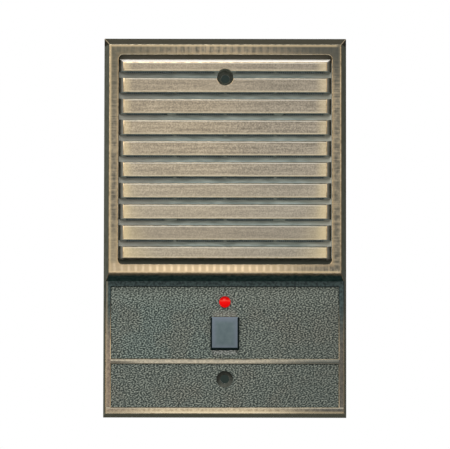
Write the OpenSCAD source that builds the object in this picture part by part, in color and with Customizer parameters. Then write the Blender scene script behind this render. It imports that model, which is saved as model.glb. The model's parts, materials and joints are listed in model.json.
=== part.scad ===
// Intercom door speaker for a wall box, in millimetres.
// The wall plane is Y = 0 and the front faces -Y. Z is up, and X runs to the right as seen from the front.

/* [Faceplate] */
// width of the casting at the wall
plate_w = 124; // [118:1:150]
// height of the casting at the wall
plate_h = 194; // [176:1:214]
// how far the upper face stands off the wall
upper_proj = 13; // [12:0.5:18]
// how far the lower rim stands off the wall
lower_proj = 5.5; // [5:0.25:7]
// lean of the two long sides, in degrees
side_slope = 14; // [6:1:20]
// lean of the top side, in degrees
top_slope = 19; // [8:1:24]
// lean of the bottom side, in degrees
bottom_slope = 23; // [8:1:28]
// height of the lower part, from the bottom edge to the step's foot
lower_h = 69.5; // [68:0.5:76]
// height taken by the slope of the step
step_run = 4; // [2:0.25:6]
// width of the back rim on the wall
rim_w = 3; // [2:0.25:4]
// wall left behind the slope of the step
step_wall = 2.5; // [2:0.25:4]

/* [Louvres] */
// width of the frame bar above the louvres
bar_top = 5.1; // [4:0.1:7]
// width of the frame bars beside the louvres
bar_side = 4.6; // [3:0.1:6]
// width of the frame bar below the louvres
bar_bottom = 4.5; // [3:0.1:7]
// corner radius of the louvre recess
recess_r = 2.3; // [1:0.1:5]
// number of slats
slat_count = 10; // [8:1:11]
// how far the slats lie below the frame's face
slat_drop = 0.6; // [0.2:0.1:1]
// depth of the grooves between the slats
groove_depth = 2.5; // [1.8:0.1:3]
// width of each groove at the front
groove_w = 3.6; // [3:0.1:4.5]
// narrowing of a groove on each side towards its floor
groove_draft = 0.35; // [0.1:0.05:0.6]
// face height of the first slat
first_slat_h = 4.5; // [4:0.1:7]
// face height of the last slat
last_slat_h = 5.6; // [4:0.1:7]
// run of the bevel at the slats' ends
end_bevel = 2.4; // [1.5:0.1:3]
// run of the bevel above the first slat
head_bevel = 1.7; // [1:0.1:3]
// run of the bevel below the last slat
foot_bevel = 1.1; // [0.5:0.1:2]
// gap between the bevels and the recess wall, above and below
field_gap = 2.1; // [1:0.1:3]
// gap between the slat ends and the recess wall
end_gap = 0.2; // [0.1:0.1:1]
// thickness of the groove floor
floor_t = 1.5; // [1.2:0.1:1.8]
// thickness of a slat's front wall
slat_wall = 1.4; // [1:0.1:1.8]
// height of the sound slot under each slat
slot_h = 0.6; // [0.4:0.05:1.2]
// thickness of the webs that tie the slats together
web_t = 1.6; // [1:0.1:2.5]
// number of webs across the field
web_count = 3; // [1:2:5]

/* [Lower panel] */
// width of the flat band beside the panel
band_side = 2.7; // [2:0.1:4]
// width of the flat band under the step
band_top = 2.85; // [2:0.1:4]
// width of the flat band along the bottom
band_bottom = 3.1; // [2:0.1:4]
// depth of the pebbled panel below the band
panel_drop = 0.7; // [0.3:0.05:1]
// thickness of the panel
panel_t = 2; // [1.6:0.1:2.4]
// width of the rib across the panel
rib_w = 2.5; // [1.5:0.1:4]
// height of the rib's middle above the bottom edge
rib_up = 28.8; // [28:0.1:31]

/* [Wall mounting] */
// distance of the upper screw hole from the top edge
top_hole_drop = 20.9; // [18:0.1:23]
// height of the lower screw hole above the bottom edge
bottom_hole_up = 19.7; // [18:0.1:20.5]
// diameter of the screw hole
mount_hole_d = 4.5; // [3.5:0.1:5]
// diameter of the counterbore for the screw head
mount_head_d = 8.4; // [7.5:0.1:9]
// thickness of metal under the screw head
mount_seat_t = 2.2; // [1.5:0.1:2.6]
// diameter of the posts around the screw holes
mount_post_d = 12.5; // [11.5:0.1:14]
// thickness of the gusset that ties each post to the rim
gusset_t = 1.8; // [1.2:0.1:3]
// how far the gussets stay off the wall
gusset_back = 1.2; // [0.6:0.1:1.6]

/* [Loudspeaker] */
// side of the square flange
speaker_size = 70; // [66:0.5:77]
// corner radius of the flange
flange_r = 8; // [5:0.5:10]
// thickness of the basket's sheet
sheet_t = 0.8; // [0.6:0.05:1]
// spacing of the flange holes
flange_pitch = 55; // [52:0.5:60]
// diameter of the flange holes
flange_hole_d = 3.6; // [3.2:0.1:4]
// gap between the flange and the upper screw post
flange_gap = 2.4; // [1:0.1:4]
// radius of the recess for the surround's rim
rim_r = 30.6; // [30:0.1:31]
// depth of that recess
rim_depth = 1.8; // [1.5:0.1:2.2]
// width of the ledge under the surround's rim
ledge_w = 2.5; // [2:0.1:3]
// depth of the ledge for the spider
spider_depth = 11; // [10.5:0.1:12]
// outer radius of the ledge for the spider
spider_r = 19; // [18:0.1:19.6]
// width of that ledge
spider_ledge_w = 3.6; // [3.2:0.1:4]
// room left behind the spider when the cone is fully in
well_room = 0.6; // [0.4:0.05:1]
// metal left between the spider's ledge and the windows
window_foot = 1.2; // [0.8:0.1:2]
// metal left between the surround's ledge and the windows
window_head = 1.3; // [0.9:0.1:2.5]
// angle that each basket window spans
window_angle = 58; // [40:1:66]
// width of the surround's free roll
surround_w = 2.2; // [1.9:0.1:2.8]
// depth of the cone's outer edge
cone_edge_depth = 1.8; // [1.6:0.1:2]
// gap along the axis from the cone's neck to the spider
neck_gap = 1.2; // [1.1:0.1:1.6]
// thickness of the paper, measured along the axis
paper_t = 0.45; // [0.3:0.05:0.6]
// radius of the dust cap
cap_r = 9.5; // [9:0.1:11]
// height of the dust cap's dome
cap_h = 3; // [2:0.1:4]
// radius of the centre pole
pole_r = 6.5; // [6:0.1:6.6]
// clearance between the pole and the former
pole_gap = 0.4; // [0.3:0.05:0.5]
// thickness of the former
former_t = 0.3; // [0.2:0.05:0.4]
// thickness of the winding
winding_t = 0.5; // [0.3:0.05:0.6]
// length of the winding
winding_l = 4; // [3:0.25:5]
// clearance between the winding and the front pole plate
winding_gap = 0.5; // [0.4:0.05:0.7]
// thickness of the front pole plate
front_plate_t = 3; // [2.5:0.1:4]
// outer radius of the front pole plate
front_plate_r = 19; // [17:0.5:20]
// outer radius of the magnet
magnet_r = 21.5; // [20:0.5:23]
// inner radius of the magnet
magnet_bore_r = 11; // [10:0.5:12]
// thickness of the magnet
magnet_t = 8; // [7:0.5:10]
// thickness of the back plate
back_plate_t = 3; // [2.5:0.1:4]
// outer radius of the back plate
back_plate_r = 19; // [17:0.5:20]
// thickness of the corrugated pieces
fabric_t = 0.4; // [0.3:0.05:0.5]
// number of corrugations in the spider
spider_waves = 4; // [3:1:5]
// height of a corrugation, from crest to trough
wave_h = 0.8; // [0.6:0.1:1]
// how far the cone travels each way
cone_travel = 0.8; // [0.5:0.1:1]
// thickness of the foam gasket when fitted
gasket_t = 3.6; // [3:0.1:4]
// width of the foam gasket's ring
gasket_w = 4.3; // [3:0.1:5]
// gap between the foam gasket and the speaker posts
gasket_gap = 1.5; // [0.5:0.1:3]
// diameter of the posts that carry the speaker
speaker_post_d = 7; // [6:0.1:7.4]
// thickness of the dust screen
screen_t = 0.4; // [0.3:0.05:0.6]

/* [Speaker tags] */
// width of the basket's tab and of the tag board
tab_w = 18; // [16:0.5:22]
// length of the basket's tab
tab_l = 10.4; // [9:0.2:12]
// thickness of the tag board
tag_board_t = 1.2; // [0.8:0.1:1.6]
// spacing of the two tags
tag_pitch = 10; // [9:0.5:11]
// width of a tag
tag_w = 4; // [3.4:0.1:5]
// thickness of a tag
tag_t = 0.5; // [0.4:0.05:0.8]
// length of a tag
tag_l = 13; // [12.5:0.1:14]
// diameter of the rivets
rivet_d = 2.2; // [1.8:0.1:2.5]
// diameter of the rivet heads
rivet_head_d = 3.6; // [3:0.1:3.8]
// height of the rivet heads
rivet_head_h = 0.7; // [0.5:0.05:0.9]
// diameter of the tinsel braids
tinsel_d = 1; // [0.8:0.05:1.2]
// radius on the cone where the braids start
tinsel_r = 22.2; // [21.6:0.1:23]

/* [Button and switch] */
// width of the button's face
button_w = 13.9; // [12:0.1:16]
// height of the button's face
button_h = 16.5; // [15:0.1:17]
// how far the button stands off the panel
button_proud = 2.6; // [2.2:0.1:4]
// chamfer around the button's face
button_chamfer = 0.5; // [0.2:0.05:1]
// distance from the indicator to the button's middle
button_drop = 16; // [15.9:0.1:17]
// lip around the button's foot
button_lip = 2; // [1.5:0.1:2.2]
// thickness of that lip
button_lip_t = 1.2; // [0.8:0.1:1.6]
// travel of the button
button_travel = 1.5; // [0.8:0.1:1.8]
// diameter of the button's inner post
button_post_d = 4; // [3:0.1:4.5]
// room left between the pressed button and the switch body
press_room = 0.5; // [0.3:0.05:0.8]
// wall of the moulded guide
guide_wall = 1.5; // [1.2:0.1:1.8]
// width of the switch body
switch_w = 6.6; // [6:0.1:6.8]
// height of the switch body above the board
switch_h = 4; // [3.5:0.1:4.2]
// diameter of the switch plunger
plunger_d = 3.2; // [2.6:0.1:3.6]
// mean diameter of the return spring
spring_d = 11; // [10.8:0.1:13]
// wire of the return spring
spring_wire = 0.6; // [0.4:0.05:0.6]
// number of turns of the return spring
spring_turns = 5; // [4:1:5]

/* [Indicator] */
// distance from the step's foot to the indicator
led_drop = 10.5; // [9.5:0.1:11]
// diameter of the red lens
lens_d = 5.6; // [4.6:0.1:6.5]
// straight part of the lens in front of the panel
lens_proud = 0.5; // [0.2:0.05:1]
// height of the lens's dome
lens_dome_h = 1.9; // [1:0.1:2.2]
// diameter of the lens flange behind the panel
lens_flange_d = 7; // [6.4:0.1:7.4]
// thickness of the lens flange
lens_flange_t = 1; // [0.8:0.1:1.4]
// diameter of the lamp's body
lamp_d = 5; // [3:0.1:5]
// diameter of the lamp's foot
lamp_foot_d = 5.8; // [5.4:0.1:5.8]
// thickness of the lamp's foot
lamp_foot_t = 1; // [0.6:0.1:1.4]
// spacing of the lamp's legs
leg_pitch = 2.54; // [2:0.02:3]
// width of a leg
leg_w = 0.5; // [0.4:0.05:0.6]
// length of a leg behind the board
leg_out = 1.6; // [1:0.1:2.5]

/* [Circuit board] */
// height of the posts that carry the board
post_l = 9.8; // [9.5:0.1:10.5]
// diameter of those posts
board_post_d = 6.5; // [6:0.1:7]
// width of the board
board_w = 50; // [48:0.5:56]
// thickness of the board
board_t = 1.6; // [1.2:0.1:2]
// board above the indicator's middle
board_up = 7; // [6.5:0.1:8]
// board below the button's middle
board_down = 16.5; // [16:0.1:17.2]
// distance of the board's screws from its edges
board_inset = 4.2; // [3.8:0.1:4.6]
// diameter of the capacitor
capacitor_d = 8; // [6:0.5:9]
// length of the capacitor
capacitor_l = 11.5; // [8:0.5:14]
// length of the resistor's body
resistor_l = 6.5; // [5.5:0.1:7]
// diameter of the resistor's body
resistor_d = 2.4; // [1.8:0.1:2.6]
// wire of the resistor
resistor_wire = 0.6; // [0.5:0.05:0.7]
// distance of the capacitor and resistor from the middle
component_x = 13; // [12.5:0.1:13.5]

/* [Screws] */
// shank diameter of the small screws
screw_d = 2.5; // [2.2:0.1:2.8]
// head diameter of the small screws
screw_head_d = 5.4; // [5:0.1:5.8]
// head height of the small screws
screw_head_h = 1.9; // [1.5:0.1:2.2]
// length of the speaker screws under the head
speaker_screw_l = 5; // [4.5:0.1:5.2]
// length of the board screws under the head
board_screw_l = 8; // [6:0.5:9]
// width of a screw's driver slot
driver_slot_w = 0.8; // [0.6:0.05:1]
// depth of a screw's driver slot
driver_slot_d = 0.9; // [0.6:0.05:1.1]

/* [Terminals] */
// number of terminals
terminal_count = 4; // [2:1:4]
// spacing of the terminals
terminal_pitch = 7.4; // [7:0.1:8]
// height of the terminal block
terminal_h = 11; // [10:0.1:12]
// depth of the terminal block
terminal_depth = 9; // [8:0.1:11]
// depth of the terminal pockets
pocket_depth = 5; // [4.6:0.1:6]
// thickness of the barriers between the terminals
barrier_t = 1.4; // [1:0.1:1.6]
// thickness of the terminal plates
terminal_plate_t = 0.8; // [0.6:0.05:1]
// thickness of the clamp washers
clamp_t = 0.7; // [0.5:0.05:0.9]
// shank diameter of the terminal screws
terminal_screw_d = 2.8; // [2.4:0.1:3]
// head diameter of the terminal screws
terminal_head_d = 4.8; // [4.4:0.1:5]
// length of the terminal screws under the head
terminal_screw_l = 4.2; // [3.5:0.1:4.6]

/* [Speaker leads] */
// diameter of the insulated leads
lead_d = 1.5; // [1.2:0.05:1.8]
// how far the leads reach out behind the board
lead_out = 12; // [6:0.5:14]
// how much wider apart the leads start than they end
lead_spread = 5; // [2:0.5:7]
// length over which the leads straighten up to the tags
lead_rise = 16; // [8:0.5:18]

/* [Fits] */
// clearance around the button in the panel and in its guide
slide_fit = 0.32; // [0.2:0.02:0.4]
// clearance around pieces that are pressed or passed through a hole
hole_fit = 0.06; // [0.04:0.01:0.1]
// clearance of pieces that only pass by each other
pass_fit = 0.3; // [0.2:0.05:0.5]
// rest gap at the button's stop
stop_fit = 0.1; // [0.05:0.01:0.2]
// end gap of the return spring and the braids
end_fit = 0.05; // [0.03:0.01:0.1]

/* [Hidden] */
$fn = 72;
overrun = 1;

top_z = plate_h / 2;
bottom_z = -plate_h / 2;
side_k = tan(side_slope);
top_k = tan(top_slope);
bottom_k = tan(bottom_slope);
face_top_z = top_z - upper_proj * top_k;
face_half_w = plate_w / 2 - upper_proj * side_k;
step_toe_z = bottom_z + lower_h;
step_top_z = step_toe_z + step_run;
step_k = step_run / (upper_proj - lower_proj);

recess_top_z = face_top_z - bar_top;
recess_bottom_z = step_top_z + bar_bottom;
recess_half_w = face_half_w - bar_side;
slat_y = -(upper_proj - slat_drop);
floor_y = slat_y + groove_depth;
field_back_y = floor_y + floor_t;
field_top_z = recess_top_z - field_gap - head_bevel;
field_bottom_z = recess_bottom_z + field_gap + foot_bevel;
field_half_w = recess_half_w - end_gap - end_bevel;
groove_count = slat_count - 1;
slat_h = (field_top_z - field_bottom_z - first_slat_h - last_slat_h - groove_count * groove_w) / (slat_count - 2);
pitch = slat_h + groove_w;
function slat_bottom(i) = i == slat_count - 1 ? field_bottom_z : field_top_z - first_slat_h - i * pitch;
function slat_top(i) = i == 0 ? field_top_z : slat_bottom(i - 1) - groove_w;

panel_y = -(lower_proj - panel_drop);
panel_back_y = panel_y + panel_t;
rim_face_half_w = plate_w / 2 - lower_proj * side_k;
panel_half_w = rim_face_half_w - band_side;
panel_top_z = step_toe_z - band_top;
panel_bottom_z = bottom_z + lower_proj * bottom_k + band_bottom;
rib_z = bottom_z + rib_up;

top_hole_z = top_z - top_hole_drop;
bottom_hole_z = bottom_z + bottom_hole_up;

screen_back_y = field_back_y + screen_t;
gasket_r = flange_pitch / sqrt(2) - speaker_post_d / 2 - gasket_gap;
gasket_bore_r = gasket_r - gasket_w;
flange_y = screen_back_y + gasket_t;
speaker_z = top_hole_z - mount_post_d / 2 - flange_gap - speaker_size / 2;
motor_depth = spider_depth + fabric_t + wave_h / 2 + cone_travel + well_room + sheet_t;
ledge_r = rim_r - ledge_w;
cone_r = ledge_r - surround_w;
well_r = spider_r - spider_ledge_w;
window_r_in = spider_r + window_foot;
window_r_out = ledge_r - window_head;
cone_neck_depth = spider_depth - neck_gap;
former_r_in = pole_r + pole_gap;
former_r = former_r_in + former_t;
winding_r = former_r + winding_t;
gap_r = winding_r + winding_gap;
magnet_front = motor_depth + front_plate_t;
magnet_back = magnet_front + magnet_t;
winding_mid = motor_depth + front_plate_t / 2;
former_lead = 0.6;
former_tail = 0.4;
former_front = cone_neck_depth - former_lead;
former_back = winding_mid + winding_l / 2 + former_tail;
cone_k = (cone_neck_depth - cone_edge_depth) / (cone_r - former_r);
function cone_depth(r) = cone_edge_depth + (cone_r - r) * cone_k;

tag_top_z = speaker_z - speaker_size / 2 - tag_board_t;
tag_depth = 4;
rivet_depth = 6.6;
tinsel_past_tab = 3;
lead_inset = 1.6;
tag_y = flange_y + tag_depth;
rivet_y = flange_y + rivet_depth;
tinsel_end_y = flange_y + tab_l + tinsel_past_tab;
lead_y = tag_y + tag_l - lead_inset;

led_z = step_toe_z - led_drop;
button_z = led_z - button_drop;
board_y = panel_back_y + post_l;
board_back_y = board_y + board_t;
board_top_z = led_z + board_up;
board_bottom_z = button_z - board_down;
button_face_y = panel_y - button_proud;
lip_front_y = panel_back_y + stop_fit;
lip_back_y = lip_front_y + button_lip_t;
guide_w = button_w + 2 * button_lip + 2 * slide_fit;
guide_h = button_h + 2 * button_lip + 2 * slide_fit;
switch_floor = 0.2;
plunger_y = board_y - switch_h - button_travel - press_room;
plunger_back_y = board_y - switch_floor - pass_fit - button_travel;
lamp_tip_y = panel_back_y + lens_flange_t + pass_fit;
terminal_edge = 1.2;
terminal_z = board_bottom_z + terminal_h / 2 + terminal_edge;
terminal_w = terminal_count * terminal_pitch + barrier_t;
pocket_y = board_back_y + terminal_depth - pocket_depth;
component_drop = 5;
lead_hole_edge = 2.6;
component_z = led_z - component_drop;
lead_z = board_top_z - lead_hole_edge;
post_points = [for (x = [-1, 1], z = [board_top_z - board_inset, board_bottom_z + board_inset])
    [x * (board_w / 2 - board_inset), z]];
flange_points = [for (x = [-1, 1], z = [-1, 1]) [x * flange_pitch / 2, speaker_z + z * flange_pitch / 2]];

brass = "#a8977a";
zinc = "#8d8f8e";
steel = "#9aa0a4";
black = "#26282b";

// Placing helpers

// a flat outline in X and Z, thickened from one Y to another
module slab(front_y, back_y) {
    translate([0, back_y, 0]) rotate([90, 0, 0]) linear_extrude(back_y - front_y) children();
}

// an outline in Y and Z, drawn out along X
module along_x(half_w) {
    translate([-half_w, 0, 0]) rotate([90, 0, 90]) linear_extrude(2 * half_w) children();
}

// an outline in X and Y, drawn out along Z
module along_z(low_z, high_z) {
    translate([0, 0, low_z]) linear_extrude(high_z - low_z) children();
}

// a round bar along Y
module bar_y(x, z, d, front_y, back_y) {
    translate([x, front_y, z]) rotate([-90, 0, 0]) cylinder(d = d, h = back_y - front_y);
}

// a rectangle with true round corners
module round_rect(w, h, r) {
    square([w - 2 * r, h], center = true);
    square([w, h - 2 * r], center = true);
    for (x = [-1, 1], y = [-1, 1]) translate([x * (w / 2 - r), y * (h / 2 - r)]) circle(r);
}

// the loudspeaker's own frame: depth behind the flange along local Z, and down along local Y
module at_speaker() {
    translate([0, flange_y, speaker_z]) rotate([-90, 0, 0]) children();
}

// Faceplate

module plate_block() {
    intersection() {
        along_x(plate_w / 2) polygon([[0, bottom_z], [-lower_proj, bottom_z + lower_proj * bottom_k],
            [-lower_proj, step_toe_z], [-upper_proj, step_top_z], [-upper_proj, face_top_z], [0, top_z]]);
        along_z(bottom_z, top_z) polygon([[-plate_w / 2, 0], [-face_half_w, -upper_proj],
            [face_half_w, -upper_proj], [plate_w / 2, 0]]);
    }
}

function inner_step_z(y) = step_top_z - (upper_proj + y) * step_k + step_wall;

module plate_cavity() {
    intersection() {
        along_x(plate_w / 2) polygon([
            [overrun, bottom_z + rim_w - overrun * bottom_k],
            [panel_back_y, bottom_z + rim_w - panel_back_y * bottom_k],
            [panel_back_y, inner_step_z(panel_back_y)],
            [field_back_y, inner_step_z(field_back_y)],
            [field_back_y, top_z - rim_w + field_back_y * top_k],
            [overrun, top_z - rim_w + overrun * top_k]]);
        along_z(bottom_z, top_z) polygon([
            [-plate_w / 2 + rim_w - overrun * side_k, overrun],
            [-plate_w / 2 + rim_w + upper_proj * side_k, -upper_proj],
            [plate_w / 2 - rim_w - upper_proj * side_k, -upper_proj],
            [plate_w / 2 - rim_w + overrun * side_k, overrun]]);
    }
}

module grille_recess() {
    slab(-upper_proj - overrun, floor_y)
        translate([0, (recess_top_z + recess_bottom_z) / 2])
            round_rect(2 * recess_half_w, recess_top_z - recess_bottom_z, recess_r);
}

module panel_recess(low_z, high_z) {
    slab(-lower_proj - overrun, panel_y)
        translate([0, (low_z + high_z) / 2]) square([2 * panel_half_w, high_z - low_z], center = true);
}

// the raised field of slats, bevelled all round, with its grooves cut across
module slat_field() {
    difference() {
        intersection() {
            along_x(plate_w / 2) polygon([
                [floor_y, field_bottom_z - foot_bevel], [slat_y, field_bottom_z],
                [slat_y, field_top_z], [floor_y, field_top_z + head_bevel],
                [field_back_y, field_top_z + head_bevel], [field_back_y, field_bottom_z - foot_bevel]]);
            along_z(field_bottom_z - foot_bevel, field_top_z + head_bevel) polygon([
                [-field_half_w - end_bevel, field_back_y], [-field_half_w - end_bevel, floor_y],
                [-field_half_w, slat_y], [field_half_w, slat_y],
                [field_half_w + end_bevel, floor_y], [field_half_w + end_bevel, field_back_y]]);
        }
        for (i = [0 : groove_count - 1])
            along_x(plate_w / 2) polygon([
                [slat_y - overrun, slat_bottom(i)], [slat_y, slat_bottom(i)],
                [floor_y, slat_bottom(i) - groove_draft], [floor_y, slat_bottom(i) - groove_w + groove_draft],
                [slat_y, slat_bottom(i) - groove_w], [slat_y - overrun, slat_bottom(i) - groove_w]]);
    }
}

// the hollow behind each slat, which opens downwards through the slot under the slat's lower edge
module slat_hollows() {
    span = 2 * (field_half_w - slat_wall);
    cell = (span - web_count * web_t) / (web_count + 1);
    difference() {
        for (i = [0 : slat_count - 1], j = [0 : web_count]) {
            low_z = i == slat_count - 1 ? slat_bottom(i) + slat_wall : slat_bottom(i) - groove_draft - slot_h;
            high_z = slat_top(i) - slat_wall;
            translate([-span / 2 + j * (cell + web_t), slat_y + slat_wall, low_z])
                cube([cell, groove_depth + floor_t - slat_wall + overrun / 2, high_z - low_z]);
        }
        bar_y(0, top_hole_z, mount_post_d, slat_y, overrun);
        for (p = flange_points) bar_y(p[0], p[1], speaker_post_d, slat_y, overrun);
    }
}

module faceplate() {
    color(brass) difference() {
        union() {
            difference() {
                union() {
                    difference() {
                        plate_block();
                        plate_cavity();
                        grille_recess();
                        panel_recess(rib_z + rib_w / 2, panel_top_z);
                        panel_recess(panel_bottom_z, rib_z - rib_w / 2);
                    }
                    slat_field();
                }
                slat_hollows();
            }
            bar_y(0, top_hole_z, mount_post_d, floor_y, 0);
            bar_y(0, bottom_hole_z, mount_post_d, panel_y, 0);
            for (p = flange_points) bar_y(p[0], p[1], speaker_post_d, floor_y, flange_y);
            for (p = post_points) bar_y(p[0], p[1], board_post_d, panel_y, board_y);
            intersection() {
                plate_block();
                along_x(gusset_t / 2) {
                    polygon([[field_back_y - 0.5, top_hole_z], [-gusset_back, top_hole_z],
                        [-gusset_back, top_z], [field_back_y - 0.5, top_z]]);
                    polygon([[panel_back_y - 0.5, bottom_hole_z], [-gusset_back, bottom_hole_z],
                        [-gusset_back, bottom_z], [panel_back_y - 0.5, bottom_z]]);
                }
            }
        }
        for (z = [top_hole_z, bottom_hole_z]) {
            bar_y(0, z, mount_hole_d, -upper_proj - overrun, overrun);
            bar_y(0, z, mount_head_d, -upper_proj - overrun, -mount_seat_t);
        }
        for (p = flange_points) bar_y(p[0], p[1], screw_d + 2 * hole_fit, floor_y + 0.6, flange_y + overrun);
        for (p = post_points) bar_y(p[0], p[1], screw_d + 2 * hole_fit, panel_back_y, board_y + overrun);
        bar_y(0, led_z, lens_d + 2 * hole_fit, panel_y - overrun, panel_back_y + overrun);
        slab(panel_y - overrun, panel_back_y + overrun)
            translate([0, button_z])
                round_rect(button_w + 2 * slide_fit, button_h + 2 * slide_fit, 0.8);
    }
}

module grille_screen() {
    color(black) slab(field_back_y, screen_back_y) difference() {
        translate([0, (field_top_z + field_bottom_z) / 2])
            square([2 * field_half_w, field_top_z - field_bottom_z], center = true);
        translate([0, top_hole_z]) circle(d = mount_post_d + 2 * pass_fit);
        translate([0, top_hole_z + plate_h / 8])
            square([gusset_t + 2 * pass_fit, plate_h / 4], center = true);
        for (p = flange_points) translate(p) circle(d = speaker_post_d + 2 * pass_fit);
    }
}

// Loudspeaker

module speaker_gasket() {
    color(black) translate([0, -gasket_t, 0]) at_speaker() linear_extrude(gasket_t) difference() {
        circle(gasket_r);
        circle(gasket_bore_r);
    }
}

module speaker_basket() {
    color(steel) at_speaker() difference() {
        union() {
            linear_extrude(sheet_t) difference() {
                round_rect(speaker_size, speaker_size, flange_r);
                circle(rim_r);
                for (x = [-1, 1], y = [-1, 1])
                    translate([x * flange_pitch / 2, y * flange_pitch / 2]) circle(d = flange_hole_d);
            }
            rotate_extrude() polygon([
                [rim_r, 0], [rim_r, rim_depth], [ledge_r, rim_depth], [spider_r - sheet_t, spider_depth],
                [well_r - sheet_t, spider_depth], [well_r - sheet_t, motor_depth - sheet_t],
                [gap_r + 1, motor_depth - sheet_t], [gap_r + 1, motor_depth],
                [well_r, motor_depth], [well_r, spider_depth + sheet_t],
                [spider_r - sheet_t / 2, spider_depth + sheet_t], [ledge_r + sheet_t, rim_depth + sheet_t],
                [rim_r + sheet_t, rim_depth + sheet_t], [rim_r + sheet_t, 0]]);
            translate([-tab_w / 2, speaker_size / 2 - sheet_t, 0]) cube([tab_w, sheet_t, tab_l]);
        }
        for (a = [0 : 90 : 270]) rotate([0, 0, a - window_angle / 2])
            rotate_extrude(angle = window_angle)
                polygon([[window_r_in, rim_depth + 1.1], [window_r_out, rim_depth + 1.1],
                    [window_r_out, spider_depth + 0.5], [window_r_in, spider_depth + 0.5]]);
        for (x = [-1, 1]) translate([x * tag_pitch / 2, speaker_size / 2 - sheet_t - overrun, rivet_y - flange_y])
            rotate([-90, 0, 0]) cylinder(d = rivet_d + 2 * hole_fit, h = sheet_t + 2 * overrun);
    }
}

module cone_edge_ring() {
    color("#5b5246") at_speaker() rotate_extrude()
        translate([ledge_r + 0.3, 0.2]) square([rim_r - ledge_r - 0.3 - hole_fit, rim_depth - fabric_t - 0.2]);
}

// one corrugated ring: points along a run of waves, thickened by the cloth's own thickness
function waves(r0, r1, mid, n, h, steps) = [for (i = [0 : n * steps])
    let (t = i / (n * steps)) [r0 + t * (r1 - r0), mid + h / 2 * sin(360 * n * t)]];
function back_of(pts, t) = [for (i = [len(pts) - 1 : -1 : 0]) [pts[i][0], pts[i][1] + t]];

module cone_surround() {
    seat = rim_depth - fabric_t;
    run = waves(cone_r + 0.15, ledge_r - 0.2, seat - 0.15, 1, -wave_h / 2, 8);
    color("#1f1f21") at_speaker() rotate_extrude() polygon(concat(
        run, [[ledge_r + 0.2, seat], [rim_r - hole_fit, seat], [rim_r - hole_fit, seat + fabric_t],
            [ledge_r + 0.2, seat + fabric_t]], back_of(run, fabric_t)));
}

module speaker_cone() {
    color("#2b2a29") at_speaker() rotate_extrude() polygon([
        [cone_r, cone_edge_depth], [former_r, cone_neck_depth],
        [former_r, cone_neck_depth + paper_t], [cone_r, cone_edge_depth + paper_t]]);
}

module dust_cap() {
    seat = cone_depth(cap_r);
    ball_r = (cap_r * cap_r + cap_h * cap_h) / (2 * cap_h);
    color("#232326") at_speaker() intersection() {
        translate([0, 0, seat - cap_h + ball_r]) difference() {
            sphere(ball_r);
            sphere(ball_r - paper_t);
        }
        rotate_extrude() polygon([[0, seat - cap_h - overrun], [cap_r, seat - cap_h - overrun],
            [cap_r, cone_depth(cap_r)], [former_r, cone_depth(former_r)], [0, cone_depth(former_r)]]);
    }
}

module voice_coil_former() {
    color("#b98f57") at_speaker() translate([0, 0, former_front]) linear_extrude(former_back - former_front)
        difference() {
            circle(former_r);
            circle(former_r_in);
        }
}

module voice_coil_winding() {
    color("#a8582b") at_speaker() translate([0, 0, winding_mid - winding_l / 2]) linear_extrude(winding_l)
        difference() {
            circle(winding_r);
            circle(former_r);
        }
}

module spider() {
    seat = spider_depth - fabric_t;
    run = waves(former_r + hole_fit, well_r - 0.6, seat, spider_waves, wave_h, 8);
    color("#b58a3c") at_speaker() rotate_extrude() polygon(concat(
        run, [[spider_r - 2 * sheet_t, seat], [spider_r - 2 * sheet_t, seat + fabric_t]], back_of(run, fabric_t)));
}

// A lead as straight stretches and bends, laid end to end from a start along local Z.
// Each step is ["run", length] or ["bend", radius, angle, heading].
module lead(steps, d, i = 0) {
    if (i < len(steps)) {
        if (steps[i][0] == "run") {
            cylinder(d = d, h = steps[i][1]);
            translate([0, 0, steps[i][1]]) lead(steps, d, i + 1);
        } else {
            rotate([0, 0, steps[i][3]]) {
                translate([steps[i][1], 0, 0]) rotate([90, 0, 180])
                    rotate_extrude(angle = steps[i][2]) translate([steps[i][1], 0]) circle(d = d);
                translate([steps[i][1], 0, 0]) rotate([0, steps[i][2], 0]) translate([-steps[i][1], 0, 0])
                    rotate([0, 0, -steps[i][3]]) lead(steps, d, i + 1);
            }
        }
    }
}

module tinsel_leads() {
    bend = 4;
    start_y = flange_y + cone_depth(tinsel_r) + paper_t + tinsel_d / 2 * cone_k + end_fit;
    start_z = speaker_z - tinsel_r;
    color("#c7a05a") for (x = [-1, 1])
        translate([x * tag_pitch / 2, start_y, start_z]) rotate([-90, 0, 0])
            lead([["run", tinsel_end_y - start_y - bend], ["bend", bend, 90, 90],
                ["run", start_z - bend - tag_top_z]], tinsel_d);
}

module front_pole_plate() {
    color(steel) at_speaker() translate([0, 0, motor_depth]) linear_extrude(front_plate_t) difference() {
        circle(front_plate_r);
        circle(gap_r);
    }
}

module ring_magnet() {
    color("#3a3b3d") at_speaker() rotate_extrude() polygon([
        [magnet_bore_r, magnet_front], [magnet_r - 0.8, magnet_front], [magnet_r, magnet_front + 0.8],
        [magnet_r, magnet_back - 0.8], [magnet_r - 0.8, magnet_back], [magnet_bore_r, magnet_back]]);
}

module pole_yoke() {
    color(steel) at_speaker() rotate_extrude() polygon([
        [0, motor_depth], [pole_r - 0.5, motor_depth], [pole_r, motor_depth + 0.5], [pole_r, magnet_back],
        [back_plate_r, magnet_back], [back_plate_r, magnet_back + back_plate_t - 0.8],
        [back_plate_r - 0.8, magnet_back + back_plate_t], [0, magnet_back + back_plate_t]]);
}

module tag_board() {
    color("#6b3f22") difference() {
        translate([-tab_w / 2, flange_y + 1, tag_top_z]) cube([tab_w, tab_l - 1, tag_board_t]);
        for (x = [-1, 1]) translate([x * tag_pitch / 2, rivet_y, tag_top_z - overrun])
            cylinder(d = rivet_d + 2 * hole_fit, h = tag_board_t + 2 * overrun);
    }
}

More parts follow.
